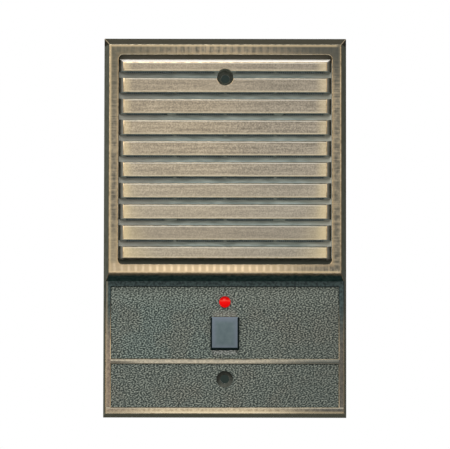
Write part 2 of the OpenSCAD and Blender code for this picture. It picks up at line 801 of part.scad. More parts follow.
module solder_tags() {
    color("#c9c3b0") for (x = [-1, 1]) translate([x * tag_pitch / 2, 0, tag_top_z - tag_t])
        linear_extrude(tag_t) difference() {
            union() {
                translate([-tag_w / 2, tag_y]) square([tag_w, tag_l - tag_w / 2]);
                translate([0, tag_y + tag_l - tag_w / 2]) circle(d = tag_w);
            }
            translate([0, rivet_y]) circle(d = rivet_d + 2 * hole_fit);
        }
}

module tag_rivets() {
    tab_top_z = speaker_z - speaker_size / 2 + sheet_t;
    low_z = tag_top_z - tag_t;
    color("#c2b280") for (x = [-1, 1]) translate([x * tag_pitch / 2, rivet_y, 0]) {
        translate([0, 0, low_z - rivet_head_h]) cylinder(d = rivet_d, h = tab_top_z - low_z + 2 * rivet_head_h);
        translate([0, 0, low_z - rivet_head_h])
            cylinder(d1 = rivet_head_d - 0.8, d2 = rivet_head_d, h = rivet_head_h);
        translate([0, 0, tab_top_z]) cylinder(d1 = rivet_head_d, d2 = rivet_head_d - 0.8, h = rivet_head_h);
    }
}

// a pan-head screw seen from behind: the head's seat is at the origin and the shank runs along -Y
module pan_screw(shank_l) {
    rotate([-90, 0, 0]) {
        difference() {
            rotate_extrude() polygon([[0, 0], [screw_head_d / 2, 0], [screw_head_d / 2, screw_head_h * 0.45],
                [screw_head_d / 2 - 0.7, screw_head_h], [0, screw_head_h]]);
            for (a = [0, 90]) rotate([0, 0, a + 45])
                translate([-screw_head_d * 0.32, -driver_slot_w / 2, screw_head_h - driver_slot_d])
                    cube([screw_head_d * 0.64, driver_slot_w, driver_slot_d + overrun]);
        }
        translate([0, 0, -shank_l]) cylinder(d1 = screw_d - 0.8, d2 = screw_d, h = 0.8);
        translate([0, 0, 0.8 - shank_l]) cylinder(d = screw_d, h = shank_l - 0.8);
    }
}

module speaker_screws() {
    color(steel) for (p = flange_points) translate([p[0], flange_y + sheet_t, p[1]]) pan_screw(speaker_screw_l);
}

// Button and switch

module push_button() {
    foot_y = lip_back_y;
    color("#5f6a6e") {
        intersection() {
            along_x(plate_w / 2) polygon([
                [foot_y, button_z - button_h / 2], [button_face_y + button_chamfer, button_z - button_h / 2],
                [button_face_y, button_z - button_h / 2 + button_chamfer],
                [button_face_y, button_z + button_h / 2 - button_chamfer],
                [button_face_y + button_chamfer, button_z + button_h / 2], [foot_y, button_z + button_h / 2]]);
            along_z(bottom_z, top_z) polygon([
                [-button_w / 2, foot_y], [-button_w / 2, button_face_y + button_chamfer],
                [-button_w / 2 + button_chamfer, button_face_y], [button_w / 2 - button_chamfer, button_face_y],
                [button_w / 2, button_face_y + button_chamfer], [button_w / 2, foot_y]]);
        }
        slab(lip_front_y, lip_back_y) translate([0, button_z])
            square([button_w + 2 * button_lip, button_h + 2 * button_lip], center = true);
        bar_y(0, button_z, button_post_d, lip_back_y - 0.5, plunger_y);
    }
}

module switch_plunger() {
    color("#d8d4c8") bar_y(0, button_z, plunger_d, plunger_y, plunger_back_y);
}

// faces of a closed tube, from its rings of points in order
function tube_faces(rings, sides) = concat(
    [for (i = [0 : rings - 1], k = [0 : sides - 1], half = [0, 1])
        let (m = (k + 1) % sides, a = i * sides, b = a + sides)
        half == 0 ? [a + k, b + m, a + m] : [a + k, b + k, b + m]],
    [for (k = [1 : sides - 2]) [0, k, k + 1]],
    [for (k = [1 : sides - 2]) let (e = rings * sides) [e, e + k + 1, e + k]]);

// The return spring is one round wire wound as a helix from the button's lip to the board.
spring_sides = 6;
spring_rings = 8 * spring_turns;
spring_front_y = lip_back_y + spring_wire / 2 + end_fit;
spring_back_y = board_y - spring_wire / 2 - end_fit;
spring_pitch = (spring_back_y - spring_front_y) / spring_turns;
spring_points = [for (i = [0 : spring_rings], k = [0 : spring_sides - 1])
    let (turn = 360 * i / 8, side = 360 * k / spring_sides, r = spring_d / 2 + spring_wire / 2 * cos(side))
    [r * cos(turn), spring_front_y + spring_pitch * i / 8 + spring_wire / 2 * sin(side), button_z + r * sin(turn)]];
spring_gap = spring_pitch - spring_wire;
echo(least_gap_between_spring_turns = spring_gap);

module button_spring() {
    color("#b9bcc0") polyhedron(points = spring_points, faces = tube_faces(spring_rings, spring_sides));
}

module button_guide() {
    color("#2f3134") slab(panel_back_y, board_y) translate([0, button_z]) difference() {
        square([guide_w + 2 * guide_wall, guide_h + 2 * guide_wall], center = true);
        square([guide_w, guide_h], center = true);
    }
}

module momentary_switch() {
    color(black) difference() {
        slab(board_y - switch_h, board_y) translate([0, button_z]) square(switch_w, center = true);
        bar_y(0, button_z, plunger_d + 2 * pass_fit, board_y - switch_h - overrun, board_y - switch_floor);
    }
}

// Indicator

module led_lens() {
    dome_y = panel_y - lens_proud;
    ball_r = (lens_d * lens_d / 4 + lens_dome_h * lens_dome_h) / (2 * lens_dome_h);
    color("#d81f1a") {
        bar_y(0, led_z, lens_flange_d, panel_back_y, panel_back_y + lens_flange_t);
        bar_y(0, led_z, lens_d, dome_y, panel_back_y + 0.2);
        intersection() {
            translate([0, dome_y - lens_dome_h + ball_r, led_z]) sphere(ball_r);
            bar_y(0, led_z, lens_d, dome_y - lens_d, dome_y);
        }
    }
}

module led_lamp() {
    r = lamp_d / 2;
    color("#c2352f") {
        bar_y(0, led_z, lamp_foot_d, board_y - lamp_foot_t, board_y);
        bar_y(0, led_z, lamp_d, lamp_tip_y + r, board_y - lamp_foot_t / 2);
        translate([0, lamp_tip_y + r, led_z]) sphere(r);
    }
}

module led_legs() {
    color("#c8ccd0") for (x = [-1, 1])
        translate([x * leg_pitch / 2 - leg_w / 2, board_y, led_z - leg_w / 2]) cube([leg_w, board_t + leg_out, leg_w]);
}

// Circuit board and what it carries

module circuit_board() {
    color("#7b5a2c") slab(board_y, board_back_y) difference() {
        translate([0, (board_top_z + board_bottom_z) / 2]) square([board_w, board_top_z - board_bottom_z], center = true);
        for (p = post_points) translate(p) circle(d = screw_d + 2 * pass_fit);
        for (x = [-1, 1]) translate([x * leg_pitch / 2, led_z]) square(leg_w + 2 * hole_fit, center = true);
    }
}

module board_screws() {
    color(steel) for (p = post_points) translate([p[0], board_back_y, p[1]]) pan_screw(board_screw_l);
}

terminal_x = [for (i = [0 : terminal_count - 1]) (i - (terminal_count - 1) / 2) * terminal_pitch];
pocket_w = terminal_pitch - barrier_t;
screw_z = terminal_z + 0.6;
pocket_top_z = terminal_z + terminal_h / 2 - barrier_t;
tile_w = pocket_w - 2 * pass_fit;

module terminal_block() {
    color("#1d1e20") difference() {
        translate([-terminal_w / 2, board_back_y, terminal_z - terminal_h / 2])
            cube([terminal_w, terminal_depth, terminal_h]);
        for (x = terminal_x) {
            translate([x - pocket_w / 2, pocket_y, terminal_z - terminal_h / 2 - overrun])
                cube([pocket_w, pocket_depth + overrun, terminal_h - barrier_t + overrun]);
            bar_y(x, screw_z, terminal_screw_d + 2 * hole_fit, board_back_y + 0.8, pocket_y + overrun);
        }
    }
}

module terminal_tile(x, front_y, t, w, h) {
    difference() {
        translate([x - w / 2, front_y, screw_z - h / 2]) cube([w, t, h]);
        bar_y(x, screw_z, terminal_screw_d + 2 * hole_fit, front_y - overrun, front_y + t + overrun);
    }
}

module terminal_plates() {
    color("#c8a24a") for (x = terminal_x)
        terminal_tile(x, pocket_y, terminal_plate_t, tile_w, 2 * (pocket_top_z - screw_z - pass_fit));
}

module wire_clamps() {
    color("#c9c9c4") for (x = terminal_x)
        terminal_tile(x, pocket_y + terminal_plate_t, clamp_t, tile_w, tile_w);
}

module terminal_screws() {
    seat_y = pocket_y + terminal_plate_t + clamp_t;
    color("#c8a24a") for (i = [0 : terminal_count - 1]) translate([terminal_x[i], seat_y, screw_z]) rotate([-90, 0, 0]) {
        difference() {
            rotate_extrude() polygon([[0, 0], [terminal_head_d / 2, 0], [terminal_head_d / 2, 1.2],
                [terminal_head_d / 2 - 0.5, 1.8], [0, 1.8]]);
            rotate([0, 0, 20 + 47 * i]) translate([-terminal_head_d, -driver_slot_w / 2, 1.8 - driver_slot_d])
                cube([2 * terminal_head_d, driver_slot_w, driver_slot_d + overrun]);
        }
        translate([0, 0, -terminal_screw_l]) cylinder(d = terminal_screw_d, h = terminal_screw_l + 0.2);
    }
}

module resistor() {
    bend = 1;
    reach = resistor_l / 2 + 1.2;
    lift = resistor_d / 2 + 0.3;
    color("#c9ab7c") translate([component_x, board_back_y + lift, component_z]) {
        rotate([0, 90, 0]) translate([0, 0, -resistor_l / 2]) rotate_extrude() polygon([
            [0, 0], [resistor_d / 2 - 0.3, 0], [resistor_d / 2, 0.4], [resistor_d / 2, 1.5],
            [resistor_d / 2 - 0.2, 1.8], [resistor_d / 2 - 0.2, resistor_l - 1.8], [resistor_d / 2, resistor_l - 1.5],
            [resistor_d / 2, resistor_l - 0.4], [resistor_d / 2 - 0.3, resistor_l], [0, resistor_l]]);
        for (a = [0, 180]) rotate([0, a, 0]) rotate([0, 90, 0])
            lead([["run", reach], ["bend", bend, 90, -90], ["run", lift - bend]], resistor_wire);
    }
}

module capacitor() {
    r = capacitor_d / 2;
    color("#2c3340") translate([-component_x, board_back_y, component_z]) rotate([-90, 0, 0]) rotate_extrude() polygon([
        [0, 0], [r - 0.5, 0], [r, 0.5], [r, 1.6], [r - 0.4, 2], [r - 0.4, 2.4], [r, 2.8],
        [r, capacitor_l - 0.6], [r - 0.6, capacitor_l], [0, capacitor_l]]);
}

// from the board's top edge up to a tag, on one slack curve that leaves the board and meets the tag squarely
function curve(p, n) = [for (i = [0 : n])
    let (t = i / n, u = 1 - t)
    u * u * u * p[0] + 3 * u * u * t * p[1] + 3 * u * t * t * p[2] + t * t * t * p[3]];
function curve_heading(p, n) = [for (i = [0 : n])
    let (t = i / n, u = 1 - t, d = u * u * (p[1] - p[0]) + 2 * u * t * (p[2] - p[1]) + t * t * (p[3] - p[2]))
    d / norm(d)];
lead_rings = 28;
lead_sides = 8;
lead_end_z = tag_top_z - tag_t - end_fit;

module speaker_lead(side) {
    start = [side * (tag_pitch / 2 + lead_spread), board_back_y, lead_z];
    end = [side * tag_pitch / 2, lead_y, lead_end_z];
    bow = [start, start + [0, lead_out, 0], end - [0, 0, lead_rise], end];
    spine = curve(bow, lead_rings);
    heading = curve_heading(bow, lead_rings);
    points = [for (i = [0 : lead_rings], k = [0 : lead_sides - 1])
        let (across = cross(heading[i], [1, 0, 0]), e = across / norm(across), f = cross(heading[i], e),
            a = 360 * k / lead_sides)
        spine[i] + lead_d / 2 * (cos(a) * e + sin(a) * f)];
    polyhedron(points = points, faces = tube_faces(lead_rings, lead_sides));
}

module speaker_lead_red() {
    color("#b3241f") speaker_lead(1);
}

module speaker_lead_black() {
    color("#1c1c1e") speaker_lead(-1);
}

faceplate();
grille_screen();
speaker_gasket();
speaker_basket();
cone_edge_ring();
cone_surround();
speaker_cone();
dust_cap();
voice_coil_former();
voice_coil_winding();
spider();
tinsel_leads();
front_pole_plate();
ring_magnet();
pole_yoke();
tag_board();
solder_tags();
tag_rivets();
speaker_screws();
push_button();
switch_plunger();
button_spring();
button_guide();
momentary_switch();
led_lens();
led_lamp();
led_legs();
circuit_board();
board_screws();
terminal_block();
terminal_plates();
wire_clamps();
terminal_screws();
resistor();
capacitor();
speaker_lead_red();
speaker_lead_black();
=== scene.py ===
"""Looks of a brass intercom door speaker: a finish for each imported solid, and soft or wound pieces."""

import json
import math
from functools import partial

import bmesh
import bpy
from mathutils import Matrix, Vector
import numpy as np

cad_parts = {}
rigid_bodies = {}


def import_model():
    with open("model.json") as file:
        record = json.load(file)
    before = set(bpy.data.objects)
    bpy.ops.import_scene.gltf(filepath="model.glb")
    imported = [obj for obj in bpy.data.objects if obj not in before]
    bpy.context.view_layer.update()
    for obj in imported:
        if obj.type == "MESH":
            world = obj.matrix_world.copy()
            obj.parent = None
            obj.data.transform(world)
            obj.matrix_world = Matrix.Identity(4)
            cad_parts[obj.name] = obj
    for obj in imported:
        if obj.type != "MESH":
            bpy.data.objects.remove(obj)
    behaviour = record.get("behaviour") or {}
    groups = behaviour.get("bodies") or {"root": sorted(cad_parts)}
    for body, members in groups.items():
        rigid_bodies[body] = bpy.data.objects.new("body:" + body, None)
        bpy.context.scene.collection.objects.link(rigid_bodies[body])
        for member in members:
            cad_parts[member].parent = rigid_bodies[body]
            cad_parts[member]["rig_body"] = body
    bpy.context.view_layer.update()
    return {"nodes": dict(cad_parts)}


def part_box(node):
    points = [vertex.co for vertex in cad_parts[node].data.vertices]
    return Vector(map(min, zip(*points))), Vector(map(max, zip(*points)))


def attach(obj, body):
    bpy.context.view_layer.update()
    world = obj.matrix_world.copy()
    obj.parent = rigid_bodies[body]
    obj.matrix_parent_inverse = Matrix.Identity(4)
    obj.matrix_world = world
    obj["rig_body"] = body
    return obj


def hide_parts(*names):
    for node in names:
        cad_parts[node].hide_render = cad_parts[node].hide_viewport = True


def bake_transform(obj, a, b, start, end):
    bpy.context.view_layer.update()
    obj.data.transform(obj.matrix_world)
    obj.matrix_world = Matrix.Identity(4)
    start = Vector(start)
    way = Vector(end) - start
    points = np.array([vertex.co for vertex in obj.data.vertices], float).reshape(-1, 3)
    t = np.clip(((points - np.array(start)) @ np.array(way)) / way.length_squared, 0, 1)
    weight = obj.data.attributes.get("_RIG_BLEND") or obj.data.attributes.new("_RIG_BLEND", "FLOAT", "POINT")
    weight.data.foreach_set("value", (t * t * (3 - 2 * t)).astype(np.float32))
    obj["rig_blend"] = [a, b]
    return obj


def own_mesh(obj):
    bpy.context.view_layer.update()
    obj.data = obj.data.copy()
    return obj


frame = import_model()
MM = 0.001

# Sizes of the casting, in millimetres: X to the right, Y into the wall, Z up
FACE_Y = -13.0
SLAT_Y = -12.4
GROOVE_Y = -9.9
BAND_Y = -5.5
PANEL_Y = -4.8
SEAT_Y = -2.2
FIELD_BACK_Y = -8.4
BACK_Y = 0.0
FACE_HALF_W = 58.76
FACE_TOP_Z = 92.52
STEP_TOP_Z = -23.5
STEP_TOE_Z = -27.5
RECESS_HALF_W = 54.16
RECESS_TOP_Z = 87.42
RECESS_LOW_Z = -19.0
FIELD_HALF_W = 51.56
FIELD_TOP_Z = 83.62
FIELD_LOW_Z = -15.8
SLAT_COUNT = 10
SLAT_PITCH = 10.72
FIRST_SLAT_LOW_Z = 79.12
GROOVE_W = 3.6
BAND_HALF_W = 60.63
PANEL_HALF_W = 57.93
PANEL_TOP_Z = -30.35
PANEL_LOW_Z = -91.57
RIB_Z = -68.2
RIB_W = 2.5
TOP_HOLE_Z = 76.1
BOTTOM_HOLE_Z = -77.3
COUNTERBORE_D = 8.4
EDGE_WEAR = 0.3

# Sizes of the loudspeaker and the small pieces, in millimetres
SPEAKER_Z = 32.45
FLANGE_Y = -4.4
LED_Z = -38.0
LENS_D = 5.6
BUTTON_Z = -54.0
BUTTON_W = 13.9
BUTTON_H = 16.5
BUTTON_FACE_Y = -7.4
SLIDE_FIT = 0.32
GRAIN_FIT = 0.1
BOARD_BACK_Y = 8.6
LED_LEG_X = 1.27
LEAD_PAD_X = 10.0
LEAD_PAD_Z = -33.6
RESISTOR_X = 13.0
RESISTOR_Z = -43.0
RESISTOR_L = 6.5
RESISTOR_LEG_X = 5.45
SWITCH_PAD_X = -6.0
SWITCH_PAD_Z = -46.5
TERMINAL_PAD_Z = -58.4
TAG_X = 5.0
TAG_Y = 11.0
TAG_FOOT_Z = -4.3
BRAID_END_Y = 9.0
BRAID_END_Z = -3.75
CLOTH_T = 0.4


def linear(code):
    """An sRGB hex colour as the linear values that a shader takes."""
    parts = [int(code[i:i + 2], 16) / 255 for i in (1, 3, 5)]
    return [c / 12.92 if c <= 0.04045 else ((c + 0.055) / 1.055) ** 2.4 for c in parts] + [1.0]


def output(value):
    """The first output in use of a node, or any other value as it is."""
    return next(s for s in value.outputs if s.enabled) if isinstance(value, bpy.types.Node) else value


def add(tree, kind, links=None, stops=None, **settings):
    """One node with its settings. A kind without its family is a shader node.

    Links are its inputs by name or number: a node, a socket, a hex colour or a value.
    """
    node = tree.nodes.new(kind if "Node" in kind else "ShaderNode" + kind)
    for name, value in settings.items():
        setattr(node, name, value)
    for key, value in (links or {}).items():
        named = [s for s in node.inputs if s.enabled and s.name == key]
        socket = node.inputs[key] if isinstance(key, int) else named[0]
        value = output(value)
        if isinstance(value, bpy.types.NodeSocket):
            tree.links.new(value, socket)
        else:
            hex_colour = isinstance(value, str) and value.startswith("#")
            socket.default_value = linear(value) if hex_colour else value
    if stops:
        steps = node.color_ramp.elements
        while len(steps) < len(stops):
            steps.new(1.0)
        for step, (place, code) in zip(steps, stops):
            step.position = place
            step.color = linear(code)
    return node


def begin(name, sockets=None):
    """A new material, the adder of its nodes and the place on the object in millimetres."""
    material = bpy.data.materials.new(name)
    material.use_nodes = True
    shader = material.node_tree.nodes["Principled BSDF"]
    for key, value in (sockets or {}).items():
        shader.inputs[key].default_value = linear(value) if isinstance(value, str) else value
    put = partial(add, material.node_tree)
    here = put("TexCoord").outputs["Object"]
    return material, put, put("Mapping", {"Vector": here, "Scale": (1 / MM, 1 / MM, 1 / MM)})


def join(material, ends):
    """Joins nodes or sockets to the shader's inputs by name."""
    tree = material.node_tree
    for name, end in ends.items():
        tree.links.new(output(end), tree.nodes["Principled BSDF"].inputs[name])
    return material


def close(material, colour, gloss=None, relief=None):
    """Ends a material: a colour, a gloss and a relief.

    The gloss is a pattern, its start and end, and the roughness there. The relief is a pattern and its
    height in millimetres.
    """
    put = partial(add, material.node_tree)
    ends = {"Base Color": colour}
    if gloss:
        labels = ("Value", "From Min", "From Max", "To Min", "To Max")
        ends["Roughness"] = put("MapRange", dict(zip(labels, gloss)))
    if relief:
        pattern, height = relief
        ends["Normal"] = put("Bump", {"Height": pattern, "Distance": height * MM, "Strength": 1.0})
    return join(material, ends)


def lay(put, under, *layers):
    """Lays tones over one another: each passes in, up to a share, as a value runs from start to end."""
    for over, value, start, end, *most in layers:
        limits = {"Value": value, "From Min": start, "From Max": end, "To Max": most[0] if most else 1.0}
        share = put("MapRange", limits, interpolation_type="SMOOTHSTEP")
        under = put("Mix", {"Factor": share, "A": under, "B": over}, data_type="RGBA")
    return under


def surface(name, tones, grain, rough, relief=0.02, sockets=None, stretch=(1, 1, 1)):
    """A finish that wanders between its tones over patches of one grain, with gloss and relief to match."""
    material, put, spot = begin(name, sockets)
    pulled = put("Mapping", {"Vector": spot, "Scale": stretch})
    patches = put("TexNoise", {"Vector": pulled, "Scale": 1 / grain, "Detail": 5.0, "Roughness": 0.62})
    codes = tones.split()
    first, spread = 0.32, 0.36
    places = [first + spread * i / (len(codes) - 1) for i in range(len(codes))]
    colour = put("ValToRGB", {"Fac": patches}, stops=list(zip(places, codes)))
    return close(material, colour, (patches, 0.3, 0.7, *rough), (patches, relief))


MATTE = {"Specular IOR Level": 0.08}
SATIN = {"Specular IOR Level": 0.35}
METAL = {"Metallic": 1.0}


def slat_span(i):
    """Lower and upper edge of a slat."""
    low = FIELD_LOW_Z if i == SLAT_COUNT - 1 else FIRST_SLAT_LOW_Z - i * SLAT_PITCH
    high = FIELD_TOP_Z if i == 0 else FIRST_SLAT_LOW_Z - (i - 1) * SLAT_PITCH - GROOVE_W
    return low, high


# Materials of the casting: zinc, brass plated, darkened with an oxide patina and relieved on its high places

def frame_brass():
    """Antique brass, relieved with a brush across each bar: rippled bands, grey patina between worn edges."""
    material, put, spot = begin("antique_brass_brushed_frame", {"Metallic": 0.7})
    x, _, z = put("SeparateXYZ", {"Vector": spot}).outputs
    wide = put("Math", {0: x}, operation="ABSOLUTE")
    side = put("Math", {0: FACE_HALF_W, 1: wide}, operation="SUBTRACT")
    top = put("Math", {0: FACE_TOP_Z, 1: z}, operation="SUBTRACT")
    low = put("Math", {0: z, 1: STEP_TOP_Z}, operation="SUBTRACT")
    end = put("Math", {0: top, 1: low}, operation="MINIMUM")
    crosswise = put("Math", {0: end, 1: side}, operation="LESS_THAN")
    upright = put("Mapping", {"Vector": spot, "Scale": (0.08, 1, 1)})
    level = put("Mapping", {"Vector": spot, "Scale": (1, 1, 0.08)})
    brushed = put("Mix", {"Factor": crosswise, "A": upright, "B": level}, data_type="VECTOR")
    streaks = put("TexNoise", {"Vector": brushed, "Scale": 1 / 0.75, "Detail": 3.0})
    blotches = put("TexNoise", {"Vector": spot, "Scale": 1 / 1.9, "Detail": 3.0})
    half = put("Math", {0: blotches, 1: 0.5, 2: 0.0}, operation="MULTIPLY_ADD")
    tone = put("Math", {0: streaks, 1: 0.5, 2: half}, operation="MULTIPLY_ADD")
    plain_stops = [(0.38, "#5c574b"), (0.5, "#797160"), (0.62, "#978a72")]
    plain = put("ValToRGB", {"Fac": tone}, stops=plain_stops)
    # Ripples of the brush across the upper and lower bar
    period = 3.6
    ripple_scale = math.pi / (10 * period)
    ripples = put("TexWave", {"Vector": spot, "Scale": ripple_scale, "Distortion": 0.7, "Detail": 2.0,
                              "Detail Scale": 4.0})
    blotched = lay(put, plain, ("#a39176", ripples, 0.2, 1.0, 0.5))
    bars = put("Mix", {"Factor": crosswise, "A": plain, "B": blotched}, data_type="RGBA")
    # The lower bar is rubbed brightest left of its middle, and least at its right end
    bright_stops = [(0.3, "#d6bc96"), (0.6, "#dcc39d"), (0.95, "#f4dcb5")]
    bright = put("ValToRGB", {"Fac": ripples}, stops=bright_stops)
    edged = lay(put, plain,
                (bright, x, FACE_HALF_W - 2, 6.0, 0.97),
                (plain, x, -26.0, -FACE_HALF_W - 2, 0.45),
                ("#f2dcb6", z, STEP_TOP_Z + 1.3, STEP_TOP_Z + 0.3, 0.6))
    leftward_foot = put("Math", {0: x, 1: 0.3, 2: z}, operation="MULTIPLY_ADD")
    lower = lay(put, bars,
                ("#d2bc95", leftward_foot, -10.0, -27.0, 0.24),
                (edged, z, RECESS_LOW_Z + 2, RECESS_LOW_Z - 0.3))
    # Wear along the outer ridge and, less, along the recess
    rim = put("Math", {0: side, 1: end}, operation="MINIMUM")
    in_side = put("Math", {0: wide, 1: RECESS_HALF_W}, operation="SUBTRACT")
    in_top = put("Math", {0: z, 1: RECESS_TOP_Z}, operation="SUBTRACT")
    in_low = put("Math", {0: RECESS_LOW_Z, 1: z}, operation="SUBTRACT")
    in_end = put("Math", {0: in_top, 1: in_low}, operation="MAXIMUM")
    inner = put("Math", {0: in_side, 1: in_end}, operation="MAXIMUM")
    worn = lay(put, lower, ("#b39c78", inner, 1.8, 0.4, 0.5))
    # The patina is left greyest in the upper corners, the right one most
    rightward = put("Math", {0: in_top, 1: 2.5, 2: x}, operation="MULTIPLY_ADD")
    leftward = put("Math", {0: z, 1: x}, operation="SUBTRACT")
    corners = lay(put, worn,
                  ("#46463e", rightward, 0.0, FACE_HALF_W, 0.9),
                  ("#555142", leftward, 95.0, 150.0, 0.75))
    rightmost = put("Math", {0: x, 1: FACE_HALF_W}, operation="SUBTRACT")
    dulled = lay(put, corners, ("#ceb78e", rim, 1.6, 0.3, 0.7), (corners, rightmost, -3.0, -1.2, 0.75))
    return close(material, dulled, (tone, 0.3, 0.7, 0.56, 0.42), (streaks, 0.012))


def slat_brass():
    """Antique brass, relieved flat on the slats: fine grain with faint lines, rubbed edges, lighter ends and
    painted shading.
    """
    material, put, spot = begin("antique_brass_relieved_slat", {"Metallic": 0.65})
    x, _, z = put("SeparateXYZ", {"Vector": spot}).outputs
    # The map holds the distance from the slat's lower and upper edge, in millimetres
    from_low, from_high, _ = put("SeparateXYZ", {"Vector": put("UVMap", uv_map="slat_edges")}).outputs
    grain = put("TexNoise", {"Vector": spot, "Scale": 1 / 0.7, "Detail": 2.0, "Roughness": 0.6})
    pulled = put("Mapping", {"Vector": spot, "Scale": (0.05, 1, 1)})
    lines = put("TexNoise", {"Vector": pulled, "Scale": 1 / 0.8, "Detail": 2.0})
    part = put("Math", {0: lines, 1: 0.35, 2: 0.0}, operation="MULTIPLY_ADD")
    tone = put("Math", {0: grain, 1: 0.65, 2: part}, operation="MULTIPLY_ADD")
    warm_stops = [(0.36, "#7f7464"), (0.5, "#9d907a"), (0.64, "#bbac94")]
    warm = put("ValToRGB", {"Fac": tone}, stops=warm_stops)
    cool_stops = [(0.36, "#70695b"), (0.5, "#8f8575"), (0.64, "#aba08d")]
    cool = put("ValToRGB", {"Fac": tone}, stops=cool_stops)
    # The last two layers are painted shading: the upper slats darker and the lower ones lighter, against the
    # lamp's fall from above
    face = lay(put, warm,
               (cool, x, -15.0, 30.0),
               ("#8a8070", z, 50.0, 80.0, 0.35),
               ("#b9b19f", z, 50.0, 0.0, 0.3))
    # The last slat but one keeps more of its patina
    apart = put("Math", {0: z, 1: sum(slat_span(SLAT_COUNT - 2)) / 2}, operation="SUBTRACT")
    near = put("Math", {0: apart}, operation="ABSOLUTE")
    right = lay(put, face,
                ("#6f6455", near, 5.2, 4.2, 0.28),
                ("#dccdae", from_low, 1.0, 0.3, 0.62),
                ("#e4e0d2", from_high, 0.8, 0.35, 0.8),
                ("#e2cd9f", x, -46.5, -51.0, 0.4),
                ("#d3c19b", x, 45.0, 50.5, 0.5))
    # The lower slats are lighter further in from their ends
    wide = put("Math", {0: x}, operation="ABSOLUTE")
    inward = put("Math", {0: z, 1: -0.25, 2: wide}, operation="MULTIPLY_ADD")
    ended = lay(put, right, ("#ecd69f", inward, 36.0, 54.0, 0.28))
    return close(material, ended, (tone, 0.3, 0.7, 0.62, 0.5), (grain, 0.015))


def groove_patina():
    """Oxide patina left in the grooves: a grey-green bloom, brown at the left ends and teal lower down."""
    material, put, spot = begin("antique_brass_oxide_groove", {"Specular IOR Level": 0.2})
    x, _, z = put("SeparateXYZ", {"Vector": spot}).outputs
    below = put("Math", {0: FIRST_SLAT_LOW_Z, 1: z}, operation="SUBTRACT")
    depth = put("Math", {0: below, 1: SLAT_PITCH}, operation="FLOORED_MODULO")
    pulled = put("Mapping", {"Vector": spot, "Scale": (0.2, 1, 1)})
    bloom = put("TexNoise", {"Vector": pulled, "Scale": 1 / 1.6, "Detail": 4.0})
    grey = put("ValToRGB", {"Fac": bloom}, stops=[(0.35, "#9a9f93"), (0.65, "#c2c7b9")])
    teal = put("ValToRGB", {"Fac": bloom}, stops=[(0.35, "#8a9d9d"), (0.65, "#b0c3c2")])
    # The last two layers are painted shade, in the gaps above the first slat and below the last
    colour = lay(put, grey,
                 (teal, depth, 1.6, GROOVE_W, 0.8),
                 ("#a8a295", x, -15.0, -52.0, 0.7),
                 ("#c4beab", x, 36.0, 52.0, 0.6),
                 ("#5f655e", z, 52.0, 72.0, 0.42),
                 ("#6d695b", z, FIELD_TOP_Z - 0.5, FIELD_TOP_Z + 0.2),
                 ("#44463b", z, FIELD_LOW_Z + 0.2, FIELD_LOW_Z - 0.4))
    return close(material, colour, (bloom, 0.3, 0.7, 0.7, 0.5), (bloom, 0.02))


def rim_brass():
    """Antique brass on the low rim and the rib: painted shade under the step, tan down the sides, bright
    below.
    """
    material, put, spot = begin("antique_brass_relieved_rim", {"Metallic": 0.6})
    x, _, z = put("SeparateXYZ", {"Vector": spot}).outputs
    wide = put("Math", {0: x}, operation="ABSOLUTE")
    smears = put("TexNoise", {"Vector": spot, "Scale": 1 / 1.4, "Detail": 4.0})
    tan = put("ValToRGB", {"Fac": smears}, stops=[(0.36, "#73665a"), (0.64, "#9c8b76")])
    dull = put("ValToRGB", {"Fac": smears}, stops=[(0.36, "#4f4c45"), (0.64, "#6d675c")])
    oxide = put("ValToRGB", {"Fac": smears}, stops=[(0.4, "#303c3b"), (0.6, "#4b5b58")])
    ivory = put("ValToRGB", {"Fac": smears}, stops=[(0.36, "#a59d8b"), (0.64, "#cabfa7")])
    bright = put("ValToRGB", {"Fac": smears}, stops=[(0.36, "#baa786"), (0.64, "#e8d5b0")])
    sides = lay(put, tan, (dull, x, -10.0, 40.0))
    # Painted shade: the sides and the band under the step turn dark teal toward the step, as its shadow would
    shaded = lay(put, sides, (oxide, z, -66.0, -38.0))
    # The rib dulls toward its ends, less along its top, whose upper edge keeps the panel's patina
    rib_right = lay(put, ivory, ("#504b40", x, -38.0, -56.0, 0.85), ("#474c47", x, 4.0, 50.0, 0.92))
    rib_top = lay(put, ivory, ("#7f8077", x, 20.0, 56.0, 0.8))
    rib_tone = lay(put, rib_right, (rib_top, z, RIB_Z - 0.15, RIB_Z + 0.3))
    rib_edge = lay(put, "#59625c", (rib_top, x, 0.0, -45.0, 0.8))
    rib = lay(put, rib_tone, (rib_edge, z, RIB_Z + 0.45, RIB_Z + 0.85, 0.85))
    inner = lay(put, shaded, (rib, wide, PANEL_HALF_W + 0.2, PANEL_HALF_W - 0.2))
    low = lay(put, shaded, (inner, z, RIB_Z + 20, RIB_Z + 10))
    foot = lay(put, sides, (bright, x, 56.0, 6.0, 0.9), (sides, x, -28.0, -BAND_HALF_W, 0.8))
    lip = lay(put, "#fae8c2", ("#b0a080", x, 10.0, 50.0), ("#a4957a", x, -25.0, -BAND_HALF_W, 0.9))
    edged = lay(put, foot,
                (lip, z, PANEL_LOW_Z - 1.5, PANEL_LOW_Z - 2.8, 0.9),
                ("#ddd6c0", z, PANEL_LOW_Z - 0.9, PANEL_LOW_Z - 0.3, 0.55))
    footed = lay(put, low, (edged, z, PANEL_LOW_Z + 0.3, PANEL_LOW_Z - 0.3))
    left = put("Math", {0: x, 1: -1.0}, operation="MULTIPLY")
    colour = lay(put, footed, ("#c0af90", left, BAND_HALF_W - 1.6, BAND_HALF_W - 0.3, 0.4))
    return close(material, colour, (smears, 0.3, 0.7, 0.58, 0.45), (smears, 0.02))


